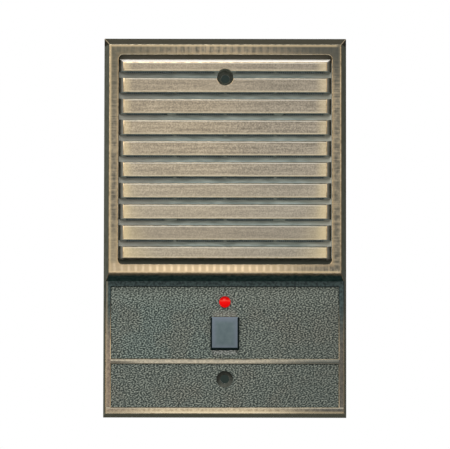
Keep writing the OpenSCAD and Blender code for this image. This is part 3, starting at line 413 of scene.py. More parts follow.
def worn_ridge(name, tones):
    """Bare brass on every ridge that hands and cloths rub, with painted shade near the step and under the
    rib.
    """
    material, put, spot = begin(name, {"Metallic": 0.8})
    x, _, z = put("SeparateXYZ", {"Vector": spot}).outputs
    patches = put("TexNoise", {"Vector": spot, "Scale": 1 / 2.2, "Detail": 4.0})
    bare = put("ValToRGB", {"Fac": patches}, stops=list(zip((0.34, 0.5, 0.66), tones.split())))
    side = lay(put, bare, ("#77705f", x, 0.0, 50.0, 0.6))
    # Painted shade: a dark line along the rib's lower edge, and darker ridges toward the step
    rib_foot = put("Math", {0: z, 1: RIB_Z - RIB_W / 2}, operation="SUBTRACT")
    rib_near = put("Math", {0: rib_foot}, operation="ABSOLUTE")
    shaded_ridges = lay(put, side, ("#3d4a4a", rib_near, 0.7, 0.4, 0.5), ("#2b3432", z, -60.0, -33.0))
    colour = lay(put, bare, (shaded_ridges, z, STEP_TOP_Z - 0.7, STEP_TOP_Z - 2.1))
    return close(material, colour, (patches, 0.3, 0.7, 0.5, 0.36), (patches, 0.01))


def slope_patina():
    """Oxide patina left thick on the outer slopes: dull and olive, with painted shade on the top bevel and
    painted light at the foot.
    """
    material, put, spot = begin("antique_brass_oxide_slope", {"Specular IOR Level": 0.0})
    z = put("SeparateXYZ", {"Vector": spot}).outputs["Z"]
    patches = put("TexNoise", {"Vector": spot, "Scale": 1 / 3.0, "Detail": 4.0})
    stops = [(0.3, "#555649"), (0.5, "#5d5f54"), (0.7, "#65655a")]
    olive = put("ValToRGB", {"Fac": patches}, stops=stops)
    # Painted shade darkens the top bevel against the lamps above, and painted light lifts the bottom bevel
    colour = lay(put, olive,
                 ("#2e2b23", z, FACE_TOP_Z - 0.2, FACE_TOP_Z + 0.6, 0.9),
                 ("#777665", z, PANEL_LOW_Z - 2.4, PANEL_LOW_Z - 3.2, 0.6))
    return close(material, colour, (patches, 0.3, 0.7, 0.8, 0.65), (patches, 0.015))


def step_patina():
    """The same patina under the step: brown along its rubbed upper edge, then black teal, deepened by painted
    shade.
    """
    material, put, spot = begin("antique_brass_oxide_step_painted_shade", MATTE)
    z = put("SeparateXYZ", {"Vector": spot}).outputs["Z"]
    patches = put("TexNoise", {"Vector": spot, "Scale": 1 / 2.0, "Detail": 4.0})
    teal = put("ValToRGB", {"Fac": patches}, stops=[(0.35, "#1f3431"), (0.65, "#344a45")])
    drop = put("Math", {0: patches, 1: 1.6, 2: z}, operation="MULTIPLY_ADD")
    colour = lay(put, teal, ("#8a775a", drop, STEP_TOP_Z - 0.9, STEP_TOP_Z + 0.9, 0.95))
    return close(material, colour, (patches, 0.3, 0.7, 0.75, 0.6), (patches, 0.02))


def deep_patina():
    """Patina at its thickest, in the sunk border, with painted shading: paler by the slats' ends, black along
    the frame.
    """
    material, put, spot = begin("antique_brass_oxide_deep_painted_shade", MATTE)
    x = put("SeparateXYZ", {"Vector": spot}).outputs["X"]
    wide = put("Math", {0: x}, operation="ABSOLUTE")
    patches = put("TexNoise", {"Vector": spot, "Scale": 1 / 2.5, "Detail": 5.0, "Roughness": 0.62})
    stops = [(0.32, "#444439"), (0.5, "#56564a"), (0.68, "#68655a")]
    olive = put("ValToRGB", {"Fac": patches}, stops=stops)
    # Painted shading across the border, as on a curved fillet: paler by the slats' ends, black along the
    # frame
    dark = lay(put, olive,
               ("#96948a", wide, FIELD_HALF_W + 1.8, FIELD_HALF_W + 0.2, 0.75),
               ("#20221d", wide, RECESS_HALF_W - 1.3, RECESS_HALF_W - 0.1, 0.8))
    colour = lay(put, olive, (dark, wide, FIELD_HALF_W - 0.15, FIELD_HALF_W))
    return close(material, colour, (patches, 0.3, 0.7, 0.85, 0.7), (patches, 0.03))


def pebble_patina():
    """Oxide patina on a wrinkled casting: near black in the creases, rubbed grey-green on the crests."""
    material, put, spot = begin("antique_brass_oxide_pebble", {"Metallic": 0.25, "Specular IOR Level": 0.3})
    crest = put("Attribute", attribute_name="crest").outputs["Fac"]
    clouds = put("TexNoise", {"Vector": spot, "Scale": 1 / 16.0, "Detail": 2.0})
    cool_stops = [(0.0, "#303a36"), (0.5, "#66716b"), (1.0, "#8f998d")]
    cool = put("ValToRGB", {"Fac": crest}, stops=cool_stops)
    warm_stops = [(0.0, "#343630"), (0.5, "#6b6b61"), (1.0, "#928d7e")]
    warm = put("ValToRGB", {"Fac": crest}, stops=warm_stops)
    mottled = lay(put, cool, (warm, clouds, 0.42, 0.68, 0.45))
    # The patina is browner to the right and below the rib
    x, _, z = put("SeparateXYZ", {"Vector": spot}).outputs
    righted = lay(put, mottled, (warm, x, -30.0, 30.0, 0.4))
    brown = put("Mix", {"Factor": 0.35, "A": mottled, "B": warm}, data_type="RGBA")
    browned = lay(put, righted, (brown, z, RIB_Z + 2.0, RIB_Z - 2.0))
    # It is painted lighter close under the step, against the step's shadow, and thicker to the lower right
    step_lift_tone = put("ValToRGB", {"Fac": crest}, stops=[(0.0, "#515952"), (1.0, "#b1b7a9")])
    lit_under_step = lay(put, browned, (step_lift_tone, z, PANEL_TOP_Z - 13.0, PANEL_TOP_Z, 0.65))
    drop = put("Math", {0: z, 1: -0.6, 2: x}, operation="MULTIPLY_ADD")
    thick = lay(put, lit_under_step, ("#3a413d", drop, 42.0, 102.0, 0.2))
    # Painted highlight on the crests above the button, and painted light on the lip below it against the
    # button's shadow
    wide = put("Math", {0: x}, operation="ABSOLUTE")
    beside = put("Math", {0: wide, 1: BUTTON_W / 2}, operation="SUBTRACT")
    button_top, button_foot = BUTTON_Z + BUTTON_H / 2, BUTTON_Z - BUTTON_H / 2
    highlit_above_button = lay(put, thick, ("#a89f92", z, button_top + 5.0, button_top + 0.5, 0.35))
    bare = put("ValToRGB", {"Fac": crest}, stops=[(0.0, "#8d938a"), (1.0, "#f6f8f0")])
    colour = lay(put, bare,
                 (thick, z, button_foot - 0.9, button_foot - 3.2),
                 (highlit_above_button, z, button_foot - 0.1, button_foot + 0.1),
                 (thick, beside, -2.4, 0.4))
    grit = put("TexNoise", {"Vector": spot, "Scale": 1 / 0.5, "Detail": 3.0})
    return close(material, colour, (crest, 0.0, 1.0, 0.75, 0.5), (grit, 0.02))


CASTING = {
    "frame": frame_brass(),
    "slat": slat_brass(),
    "groove": groove_patina(),
    "rim": rim_brass(),
    "slope": slope_patina(),
    "step": step_patina(),
    # Ridges that look up are painted dark against the lamps above them, and those that look down are painted
    # light where the lamps miss them
    "ridge": worn_ridge("antique_brass_worn_ridge", "#9c8663 #c6ab82 #dec69d"),
    "upper": worn_ridge("antique_brass_upper_ridge_painted_shade", "#4f473a #665c4b #7c715d"),
    "lower": worn_ridge("antique_brass_lower_ridge_painted_light", "#cdbc9b #e6d7b6 #f5e8cc"),
    # The mitres between the slopes, worn through to a dull tan
    "mitre": surface("antique_brass_worn_mitre", "#5d523f #6f634e #80735d", 2.0, (0.75, 0.6), 0.01, MATTE),
    "deep": deep_patina(),
    # Blue-green bloom on the undersides of the slats, lightened as painted light against the shade under them
    "under": surface("antique_brass_oxide_bloom_painted_light", "#9fb0ac #b3c4bf #c6d6d0", 2.0, (0.85, 0.7), 0.03, MATTE),
    # The first slat's upper bevel, painted near white: a painted highlight from the lamp above
    "painted_highlight": surface("antique_brass_painted_highlight_bevel", "#faf4e6 #fdf8ee #fffdf8", 3.0, (0.4, 0.3), 0.01),
    # Cast screw seats, where the patina pools evenly; the upper seat is lightened as painted light against
    # the shade of its depth
    "shaft": surface("antique_brass_oxide_shaft_painted_light", "#85877d #979a8f #a8aaa0", 1.5, (0.8, 0.7), 0.02, MATTE),
    "bore": surface("antique_brass_oxide_seat", "#4c4f48 #5c5e56 #6a6a60", 1.5, (0.8, 0.7), 0.02, MATTE),
    # Plated die casting as it left the die: dull, with faint flow marks
    "back": surface("zinc_die_casting_plated_back", "#7a715b #857b64 #8f856d", 3.5, (0.62, 0.48), 0.05,
                    {"Metallic": 0.6}, (1, 1, 0.4)),
}


# Shapes

def link(name, mesh):
    """A new object that holds a mesh, at the origin."""
    obj = bpy.data.objects.new(name, mesh)
    bpy.context.scene.collection.objects.link(obj)
    return obj


def hang(obj, body, slot, *nodes):
    """Rides a finished piece on its body and hides the solids that it stands for."""
    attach(obj, body)
    return stand_for(obj, slot, *nodes)


def stand_for(obj, slot, *nodes):
    """Hides the solids that a piece stands for."""
    if nodes:
        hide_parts(*nodes)
    return obj


def merged(node):
    """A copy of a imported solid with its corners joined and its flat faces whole."""
    shape = bmesh.new()
    shape.from_mesh(frame["nodes"][node].data)
    bmesh.ops.remove_doubles(shape, verts=shape.verts, dist=0.002 * MM)
    flat = math.radians(0.4)
    bmesh.ops.dissolve_limit(shape, angle_limit=flat, verts=shape.verts, edges=shape.edges)
    return shape


def ease(shape, edges, width, finish=-1):
    """Rounds the given edges and returns the new faces."""
    made = bmesh.ops.bevel(shape, geom=edges, offset=width * MM, offset_type="OFFSET", segments=2,
                           profile=0.5, affect="EDGES", clamp_overlap=True, material=finish)
    return set(made["faces"])


def shade(shape, rounded=()):
    """Round walls and rounded edges are smooth, and flat faces stay flat, beside a rounded edge too."""
    curved_least, curved_most = math.radians(0.3), math.radians(24)
    most_corners = 6
    for face in shape.faces:
        whole = [e for e in face.edges if len(e.link_faces) == 2]
        plain = [e for e in whole if not any(f in rounded for f in e.link_faces)]
        curved = any(curved_least < e.calc_face_angle(0.0) < curved_most for e in plain)
        face.smooth = face in rounded or curved and len(face.verts) <= most_corners
    for edge in shape.edges:
        edge.smooth = edge.calc_face_angle(0.0) < math.radians(50)


def to_mesh(shape, name, *materials):
    """Ends a shape as a mesh with its materials."""
    mesh = bpy.data.meshes.new(name)
    shape.to_mesh(mesh)
    shape.free()
    for material in materials:
        mesh.materials.append(material)
    return mesh


def dress(node, material, slot, width=0.0):
    """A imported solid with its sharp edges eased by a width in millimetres, in its finish."""
    shape = merged(node)
    rounded = set()
    if width:
        sharp = [e for e in shape.edges if e.is_convex and e.calc_face_angle(0.0) > math.radians(35)]
        rounded = ease(shape, sharp, width)
    shade(shape, rounded)
    piece = link(node + "_dressed", to_mesh(shape, node + "_dressed", material))
    return hang(piece, frame["nodes"][node]["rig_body"], slot, node)


def turned(outline, segments, middle):
    """A closed ring turned about the loudspeaker's axis from an outline of radius and Y, in millimetres."""
    shape = bmesh.new()
    rings = []
    for step in range(segments):
        turn = 2 * math.pi * step / segments
        spots = [(r * math.cos(turn), y, middle + r * math.sin(turn)) for r, y in outline]
        rings.append([shape.verts.new(Vector(spot) * MM) for spot in spots])
    count = len(outline)
    for step in range(segments):
        near, far = rings[step], rings[(step + 1) % segments]
        for i in range(count):
            shape.faces.new((near[i], near[(i + 1) % count], far[(i + 1) % count], far[i]))
    bmesh.ops.recalc_face_normals(shape, faces=shape.faces)
    for face in shape.faces:
        face.smooth = True
    for edge in shape.edges:
        edge.smooth = edge.calc_face_angle(0.0) < math.radians(40)
    return shape


# The casting

def casting_finish(face):
    """The finish of one face of the casting, from where it lies and which way it looks."""
    spot, out = face.calc_center_median() / MM, face.normal
    near = 0.05
    seat_r = COUNTERBORE_D / 2 + near
    in_seat = any(math.hypot(spot.x, spot.z - z) < seat_r for z in (TOP_HOLE_Z, BOTTOM_HOLE_Z))
    if in_seat and spot.y < BACK_Y and (abs(out.y) < near or abs(spot.y - SEAT_Y) < near):
        # The upper seat takes the lightened finish, painted light against its depth
        return "shaft" if spot.z > 0 else "bore"
    in_field = FIELD_LOW_Z < spot.z < FIELD_TOP_Z and abs(spot.x) < FIELD_HALF_W
    if out.y < -0.99:
        levels = {FACE_Y: "frame", SLAT_Y: "slat", BAND_Y: "rim", GROOVE_Y: "groove" if in_field else "deep"}
        return next((finish for level, finish in levels.items() if abs(spot.y - level) < near), "slope")
    if out.y > near or spot.y > SEAT_Y + near and out.y > -near:
        return "back"
    in_recess = abs(spot.x) < RECESS_HALF_W + near and RECESS_LOW_Z - near < spot.z < RECESS_TOP_Z + near
    if in_recess and spot.y < FIELD_BACK_Y:
        # The first slat's upper bevel takes the painted highlight
        if spot.z > FIELD_TOP_Z and out.z > 0.6 and out.y < -0.4:
            return "painted_highlight"
        return "under" if out.z < -0.8 and in_field else "deep"
    return "step" if out.z < -0.5 and STEP_TOE_Z - near < spot.z < STEP_TOP_Z + near else "slope"


def faceplate():
    """The casting with its finishes by face, and every ridge of its front rubbed round."""
    shape = merged("faceplate")
    names = list(CASTING)
    for face in shape.faces:
        face.material_index = names.index(casting_finish(face))
    raised = {names.index(n) for n in ("frame", "slat", "rim")}
    near = 0.1

    def beyond_face(z):
        return z > FACE_TOP_Z - near or STEP_TOE_Z - near < z < STEP_TOP_Z + near

    ridges = []
    for edge in shape.edges:
        kinds = {f.material_index in raised and f.normal.y < -0.99 for f in edge.link_faces}
        ends = [v.co / MM for v in edge.verts]
        corner = all(abs(p.x) > FACE_HALF_W - near and beyond_face(p.z) for p in ends)
        mitre = corner and abs(ends[0].y - ends[1].y) > 5
        if edge.is_convex and (len(kinds) == 2 or mitre):
            ridges.append(edge)
    rounded = ease(shape, ridges, EDGE_WEAR, names.index("ridge"))
    for face in rounded:
        spot = face.calc_center_median() / MM
        if abs(spot.x) > FACE_HALF_W + near and spot.y > FACE_Y + EDGE_WEAR and beyond_face(spot.z):
            face.material_index = names.index("mitre")
        # Rounded faces that look up take the painted shade, and those that look down the painted light
        elif abs(face.normal.z) > 0.3:
            face.material_index = names.index("upper" if face.normal.z > 0 else "lower")
    shade(shape, rounded)
    layer = shape.loops.layers.uv.new("slat_edges")
    for face in shape.faces:
        if face.material_index == names.index("slat"):
            middle = face.calc_center_median().z / MM
            low, high = min((slat_span(i) for i in range(SLAT_COUNT)), key=lambda s: abs(sum(s) / 2 - middle))
            for loop in face.loops:
                z = loop.vert.co.z / MM
                loop[layer].uv = (z - low, high - z)
    piece = link("faceplate_casting", to_mesh(shape, "faceplate_casting", *CASTING.values()))
    return hang(piece, "plate", "antique_brass", "faceplate")


# Rules for what repeats or follows a path, as geometry nodes

def new_tree(name, **inputs):
    """A tree with a geometry input, its named inputs and a geometry output, and the adder of its nodes."""
    tree = bpy.data.node_groups.new(name, "GeometryNodeTree")
    tree.interface.new_socket("Geometry", in_out="INPUT", socket_type="NodeSocketGeometry")
    for label, kind in inputs.items():
        tree.interface.new_socket(label, in_out="INPUT", socket_type="NodeSocket" + kind)
    tree.interface.new_socket("Geometry", in_out="OUTPUT", socket_type="NodeSocketGeometry")
    put = partial(add, tree)
    return tree, put, put("NodeGroupInput").outputs


def finish_tree(tree, shape, material):
    """Ends a tree in real geometry with its material."""
    put = partial(add, tree)
    whole = put("GeometryNodeRealizeInstances", {"Geometry": shape})
    dressed = put("GeometryNodeSetMaterial", {"Geometry": whole, "Material": material})
    put("NodeGroupOutput", {"Geometry": dressed})
    return tree


def plain_mesh(obj):
    """The shape of an object after its modifiers, as a plain mesh."""
    bpy.context.view_layer.update()
    depsgraph = bpy.context.evaluated_depsgraph_get()
    return bpy.data.meshes.new_from_object(obj.evaluated_get(depsgraph))


def grow(name, tree, source=None, **values):
    """Runs a tree on a mesh, with its inputs set, and gives the result as a plain mesh."""
    carrier = link(name, source or bpy.data.meshes.new(name))
    modifier = carrier.modifiers.new(name, "NODES")
    modifier.node_group = tree
    for item in tree.interface.items_tree:
        if item.in_out == "INPUT" and item.name in values:
            modifier[item.identifier] = values[item.name]
    mesh = plain_mesh(carrier)
    bpy.data.objects.remove(carrier)
    mesh.name = name
    return mesh


def pebble_tree():
    """A flat sheet in X and Z, raised into winding crests whose height is kept for the finish."""
    reals = {label: "Float" for label in ("Width", "Height", "Spacing", "Grain", "Relief", "Level")}
    tree, put, given = new_tree("pebbled_sheet", Centre="Vector", Material="Material", **reals)
    columns = put("Math", {0: given["Width"], 1: given["Spacing"]}, operation="DIVIDE")
    rows = put("Math", {0: given["Height"], 1: given["Spacing"]}, operation="DIVIDE")
    sizes = {"Size X": given["Width"], "Size Y": given["Height"], "Vertices X": columns, "Vertices Y": rows}
    flat = put("GeometryNodeMeshGrid", sizes)
    upright = {"Geometry": flat, "Translation": given["Centre"], "Rotation": (math.pi / 2, 0, 0)}
    stood = put("GeometryNodeTransform", upright)
    # Banded noise gives the crests one spacing, drawn out sideways, and a finer noise makes them uneven
    stretch, waves_per_grain = (0.9, 1.0, 1.4), 1.2
    uneven_size, uneven_share = 1.2, 0.3
    crease, crest = 0.55, 0.81
    scale = put("Math", {0: 1.0, 1: given["Grain"]}, operation="DIVIDE")
    drawn = put("VectorMath", {0: put("GeometryNodeInputPosition"), 1: stretch}, operation="MULTIPLY")
    x, _, z = put("SeparateXYZ", {"Vector": drawn}).outputs
    laid = put("CombineXYZ", {"X": x, "Y": z})
    waves = {"Vector": laid, "Scale": scale, "Frequency": waves_per_grain, "Anisotropy": 0.0}
    folds = put("TexGabor", waves, gabor_type="2D")
    uneven = put("TexNoise", {"Vector": laid, "Scale": 1 / (uneven_size * MM), "Detail": 2.0})
    swell = put("Math", {0: uneven, 1: uneven_share, 2: folds}, operation="MULTIPLY_ADD")
    limits = {"Value": swell, "From Min": crease, "From Max": crest}
    height = put("MapRange", limits, interpolation_type="SMOOTHSTEP")
    kept = put("GeometryNodeStoreNamedAttribute", {"Geometry": stood, "Name": "crest", "Value": height},
               data_type="FLOAT", domain="POINT")
    read = put("GeometryNodeInputNamedAttribute", {"Name": "crest"}, data_type="FLOAT")
    lift = put("Math", {0: read, 1: given["Relief"]}, operation="MULTIPLY")
    rise = put("Math", {0: lift, 1: given["Level"]}, operation="ADD")
    out = put("Math", {0: rise, 1: -1.0}, operation="MULTIPLY")
    offset = put("CombineXYZ", {"Y": out})
    raised = put("GeometryNodeSetPosition", {"Geometry": kept, "Offset": offset})
    smooth = put("GeometryNodeSetShadeSmooth", {"Geometry": raised})
    return finish_tree(tree, smooth, given["Material"])


def wire_tree():
    """A round wire along a path, with the length along it and the turn around it kept for the finish."""
    tree, put, given = new_tree("wire_on_path", Radius="Float", Sides="Int", Material="Material")
    path = put("GeometryNodeMeshToCurve", {"Mesh": given["Geometry"]})
    length = put("GeometryNodeSplineParameter").outputs["Length"]
    along = {"Geometry": path, "Name": "along", "Value": length}
    long = put("GeometryNodeStoreNamedAttribute", along, data_type="FLOAT", domain="POINT")
    ring = {"Resolution": given["Sides"], "Radius": given["Radius"]}
    circle = put("GeometryNodeCurvePrimitiveCircle", ring)
    share = put("GeometryNodeSplineParameter").outputs["Factor"]
    around = {"Geometry": circle, "Name": "around", "Value": share}
    round_wire = put("GeometryNodeStoreNamedAttribute", around, data_type="FLOAT", domain="POINT")
    tube = put("GeometryNodeCurveToMesh", {"Curve": long, "Profile Curve": round_wire, "Fill Caps": True})
    smooth = put("GeometryNodeSetShadeSmooth", {"Geometry": tube})
    return finish_tree(tree, smooth, given["Material"])


def foil_tree():
    """A flat run of foil along a path with eased corners, its face to the back."""
    reals = {label: "Float" for label in ("Width", "Foil", "Corner")}
    tree, put, given = new_tree("foil_run", Material="Material", **reals)
    path = put("GeometryNodeMeshToCurve", {"Mesh": given["Geometry"]})
    corners = {"Curve": path, "Radius": given["Corner"], "Count": 6, "Limit Radius": True}
    eased = put("GeometryNodeFilletCurve", corners, mode="POLY")
    faced = put("GeometryNodeSetCurveNormal", {"Curve": eased, "Normal": (0, 1, 0)}, mode="FREE")
    sides = {"Width": given["Foil"], "Height": given["Width"]}
    section = put("GeometryNodeCurvePrimitiveQuadrilateral", sides)
    strip = put("GeometryNodeCurveToMesh", {"Curve": faced, "Profile Curve": section, "Fill Caps": True})
    return finish_tree(tree, strip, given["Material"])


def joint_tree():
    """A hollow-sided cone of solder on each point."""
    tree, put, given = new_tree("solder_joints", Foot="Float", Tip="Float", Rise="Float",
                           Turn="Vector", Material="Material")
    sizes = {"Vertices": 20, "Side Segments": 5, "Radius Top": given["Tip"], "Radius Bottom": given["Foot"],
             "Depth": given["Rise"]}
    cone = put("GeometryNodeMeshCone", sizes)
    place = put("SeparateXYZ", {"Vector": put("GeometryNodeInputPosition")})
    share = put("Math", {0: place.outputs["Z"], 1: given["Rise"]}, operation="DIVIDE")
    bow = put("Math", {0: share, 1: 1.0}, operation="SUBTRACT")
    sag = put("Math", {0: share, 1: bow}, operation="MULTIPLY")
    hollow = 1.6
    pinch = put("Math", {0: sag, 1: hollow, 2: 1.0}, operation="MULTIPLY_ADD")
    squeeze = put("CombineXYZ", {"X": pinch, "Y": pinch, "Z": 1.0})
    spot = put("GeometryNodeInputPosition")
    drawn = put("VectorMath", {0: spot, 1: squeeze}, operation="MULTIPLY")
    fillet = put("GeometryNodeSetPosition", {"Geometry": cone.outputs["Mesh"], "Position": drawn})
    smooth = put("GeometryNodeSetShadeSmooth", {"Geometry": fillet})
    spots = {"Points": given["Geometry"], "Instance": smooth, "Rotation": given["Turn"]}
    joints = put("GeometryNodeInstanceOnPoints", spots)
    return finish_tree(tree, joints, given["Material"])


def path_mesh(points, joined=True):
    """Points in millimetres as a mesh, joined into a path or left apart."""
    mesh = bpy.data.meshes.new("path")
    steps = [(i, i + 1) for i in range(len(points) - 1)] if joined else []
    mesh.from_pydata([Vector(p) * MM for p in points], steps, [])
    return mesh


def joined_piece(name, *meshes):
    """Several meshes as one object."""
    shape = bmesh.new()
    materials = []
    for mesh in meshes:
        first = len(shape.faces)
        shape.from_mesh(mesh)
        shape.faces.ensure_lookup_table()
        for face in shape.faces[first:]:
            face.material_index = len(materials)
        materials.append(mesh.materials[0])
    return link(name, to_mesh(shape, name, *materials))


# The pebbled panel

def close_sheet(shape, back):
    """Walls and a flat back behind an open sheet, so that it is a closed slab."""
    rim = [e for e in shape.edges if e.is_boundary]
    made = bmesh.ops.extrude_edge_only(shape, edges=rim)["geom"]
    for vert in made:
        if isinstance(vert, bmesh.types.BMVert):
            vert.co.y = back * MM
    loop = [e for e in made if isinstance(e, bmesh.types.BMEdge) and e.is_boundary]
    bmesh.ops.contextual_create(shape, geom=loop)
    bmesh.ops.recalc_face_normals(shape, faces=shape.faces)


def cutter(name, outline):
    """A prism along Y through the panel, from an outline in X and Z."""
    shape = bmesh.new()
    front, back = BUTTON_FACE_Y, 0.0
    face = shape.faces.new([shape.verts.new(Vector((x, front, z)) * MM) for x, z in outline])
    made = bmesh.ops.extrude_face_region(shape, geom=[face])["geom"]
    for vert in made:
        if isinstance(vert, bmesh.types.BMVert):
            vert.co.y = back * MM
    bmesh.ops.recalc_face_normals(shape, faces=shape.faces)
    return link(name, to_mesh(shape, name))


def ring_outline(radius, middle, count=64):
    """A circle's points in X and Z."""
    turns = [2 * math.pi * i / count for i in range(count)]
    return [(radius * math.cos(t), middle + radius * math.sin(t)) for t in turns]


def pebbled_field(name, low, high, finish, tree, *outlines):
    """One pebbled field of the lower panel, cut through for each outline."""
    spacing, grain, relief, lift, sunk = 0.24, 1.54, 0.2, 0.03, 0.25
    centre = Vector((0, PANEL_Y, (low + high) / 2)) * MM
    sheet = grow("pebbles", tree, Width=2 * PANEL_HALF_W * MM, Height=(high - low) * MM, Spacing=spacing * MM,
                 Grain=grain * MM, Relief=relief * MM, Level=lift * MM, Centre=centre, Material=finish)
    shape = bmesh.new()
    shape.from_mesh(sheet)
    close_sheet(shape, PANEL_Y + sunk)
    slab = link(name, to_mesh(shape, name, finish))
    cutters = [cutter("hole", outline) for outline in outlines]
    for tool in cutters:
        cut = slab.modifiers.new(tool.name, "BOOLEAN")
        cut.object = tool
        cut.operation = "DIFFERENCE"
        cut.solver = "MANIFOLD"
    mesh = plain_mesh(slab)
    for tool in [*cutters, slab]:
        bpy.data.objects.remove(tool)
    mesh.materials.clear()
    mesh.materials.append(finish)
    return hang(link(name, mesh), "plate", "antique_brass")


def pebbled_panel():
    """The two pebbled fields: the upper round the indicator and the button, the lower round its screw."""
    finish, tree = pebble_patina(), pebble_tree()
    hole_play = 0.12
    lens_hole = ring_outline(LENS_D / 2 + hole_play, LED_Z)
    w, h = BUTTON_W / 2 + SLIDE_FIT, BUTTON_H / 2 + SLIDE_FIT
    # The button hangs low in its clearance, so the grain above it closes in
    top = BUTTON_H / 2 + GRAIN_FIT
    button_hole = [(x, BUTTON_Z + z) for x, z in ((-w, -h), (w, -h), (w, top), (-w, top))]
    screw_hole = ring_outline(COUNTERBORE_D / 2, BOTTOM_HOLE_Z)
    pebbled_field("pebbled_panel_upper", RIB_Z + RIB_W / 2, PANEL_TOP_Z, finish, tree, lens_hole, button_hole)
    pebbled_field("pebbled_panel_lower", PANEL_LOW_Z, RIB_Z - RIB_W / 2, finish, tree, screw_hole)


faceplate()
pebbled_panel()


# Materials of the loudspeaker and the small pieces

def woven(name, thread, dark, light, rough, relief, sockets=None):
    """A plain weave: threads of one pitch over and under each other, lit on their crowns."""
    material, put, spot = begin(name, sockets)
    x, _, z = put("SeparateXYZ", {"Vector": spot}).outputs
    turns = math.pi / thread
    warp = put("Math", {0: x, 1: turns}, operation="MULTIPLY")
    weft = put("Math", {0: z, 1: turns}, operation="MULTIPLY")
    up = put("Math", {0: warp}, operation="SINE")
    over = put("Math", {0: weft}, operation="SINE")
    crossed = put("Math", {0: up, 1: over}, operation="MULTIPLY")
    crown = put("Math", {0: crossed}, operation="ABSOLUTE")
    fuzz = put("TexNoise", {"Vector": spot, "Scale": 2 / thread, "Detail": 3.0})
    mixed = put("Math", {0: fuzz, 1: 0.3, 2: crown}, operation="MULTIPLY_ADD")
    colour = put("ValToRGB", {"Fac": mixed}, stops=[(0.1, dark), (0.95, light)])
    return close(material, colour, (crown, 0.0, 1.0, rough[0], rough[1]), (mixed, relief))


def braid(name, dark, light, pick):
    """A braid of fine tinsel: two sets of strands crossing on the slant."""
    material, put, _ = begin(name, {"Metallic": 0.8})
    along = put("Attribute", attribute_name="along").outputs["Fac"]
    around = put("Attribute", attribute_name="around").outputs["Fac"]
    steps = put("Math", {0: along, 1: 2 * math.pi / (pick * MM)}, operation="MULTIPLY")
    strands = 3
    turns = put("Math", {0: around, 1: 2 * math.pi * strands}, operation="MULTIPLY")
    left = put("Math", {0: steps, 1: turns}, operation="ADD")
    right = put("Math", {0: steps, 1: turns}, operation="SUBTRACT")
    one = put("Math", {0: left}, operation="SINE")
    two = put("Math", {0: right}, operation="SINE")
    crown = put("Math", {0: one, 1: two}, operation="MAXIMUM")
    colour = put("ValToRGB", {"Fac": crown}, stops=[(0.0, dark), (0.9, light)])
    return close(material, colour, (crown, 0.0, 1.0, 0.55, 0.3), (crown, 0.06))


def lens_acrylic():
    """Red acrylic, moulded, lit from behind, with painted shade at its top and a painted highlight as a pale
    band above its middle.
    """
    looks = {"Roughness": 0.3, "Specular IOR Level": 0.12, "Emission Strength": 0.75}
    material, put, spot = begin("red_acrylic_moulded", looks)
    z = put("SeparateXYZ", {"Vector": spot}).outputs["Z"]
    height = put("Math", {0: z, 1: LED_Z}, operation="SUBTRACT")
    ripple = put("TexNoise", {"Vector": spot, "Scale": 1 / 1.2, "Detail": 1.0})
    wavy = put("Math", {0: ripple, 1: 0.9, 2: height}, operation="MULTIPLY_ADD")
    share = put("MapRange", {"Value": wavy, "From Min": -2.4, "From Max": 3.4})
    # The glow and the body carry a painted highlight band above the middle and painted shade toward the top
    glow_stops = [(0.2, "#f40504"), (0.5, "#ff0806"), (0.6, "#ff4a38"), (0.7, "#f20706"), (0.95, "#b00403")]
    glow = put("ValToRGB", {"Fac": share}, stops=glow_stops)
    join(material, {"Emission Color": glow})
    body = put("ValToRGB", {"Fac": share}, stops=[(0.2, "#7a0403"), (0.8, "#5a0302")])
    return close(material, body, relief=(ripple, 0.01))


def banded_coat():
    """Lacquered resistor body, dipped, with four plain rings."""
    material, put, spot = begin("resistor_lacquer_dipped", {"Roughness": 0.35})
    x = put("SeparateXYZ", {"Vector": spot}).outputs["X"]
    reach = RESISTOR_L / 2
    limits = {"Value": x, "From Min": RESISTOR_X - reach, "From Max": RESISTOR_X + reach}
    share = put("MapRange", limits)
    coat, rings = "#c9ab7c", ("#7a2f1c", "#2a2320", "#b8541f", "#b8923c")
    stops = [(0.0, coat)]
    places, ring_w = (0.16, 0.34, 0.5, 0.8), 0.08
    for place, ring in zip(places, rings):
        stops += [(place, ring), (place + ring_w, coat)]
    body = put("ValToRGB", {"Fac": share}, stops=stops)
    body.color_ramp.interpolation = "CONSTANT"
    grime = put("TexNoise", {"Vector": spot, "Scale": 1 / 1.5, "Detail": 4.0})
    shades = put("ValToRGB", {"Fac": grime}, stops=[(0.3, "#c0b8ac"), (0.7, "#ffffff")])
    colour = put("Mix", {"Factor": 1.0, "A": body, "B": shades}, data_type="RGBA", blend_type="MULTIPLY")
    return close(material, colour, relief=(grime, 0.02))


def button_abs():
    """Slate ABS, moulded and handled: a satin face, paler and faintly lilac along its margins."""
    material, put, spot = begin("slate_abs_moulded", {"Specular IOR Level": 0.12})
    x, _, z = put("SeparateXYZ", {"Vector": spot}).outputs
    wide = put("Math", {0: x}, operation="ABSOLUTE")
    side = put("Math", {0: BUTTON_W / 2, 1: wide}, operation="SUBTRACT")
    rise = put("Math", {0: z, 1: BUTTON_Z}, operation="SUBTRACT")
    tall = put("Math", {0: rise}, operation="ABSOLUTE")
    end = put("Math", {0: BUTTON_H / 2, 1: tall}, operation="SUBTRACT")
    margin = put("Math", {0: side, 1: end}, operation="MINIMUM")
    speckle = put("TexNoise", {"Vector": spot, "Scale": 1 / 2.2, "Detail": 3.0})
    face = put("ValToRGB", {"Fac": speckle}, stops=[(0.3, "#5c6a6d"), (0.7, "#687678")])
    colour = lay(put, face, ("#717a85", margin, 3.4, 0.8, 0.75))
    grain = put("TexNoise", {"Vector": spot, "Scale": 1 / 0.4, "Detail": 2.0})
    return close(material, colour, (grain, 0.0, 1.0, 0.5, 0.62), (grain, 0.01))


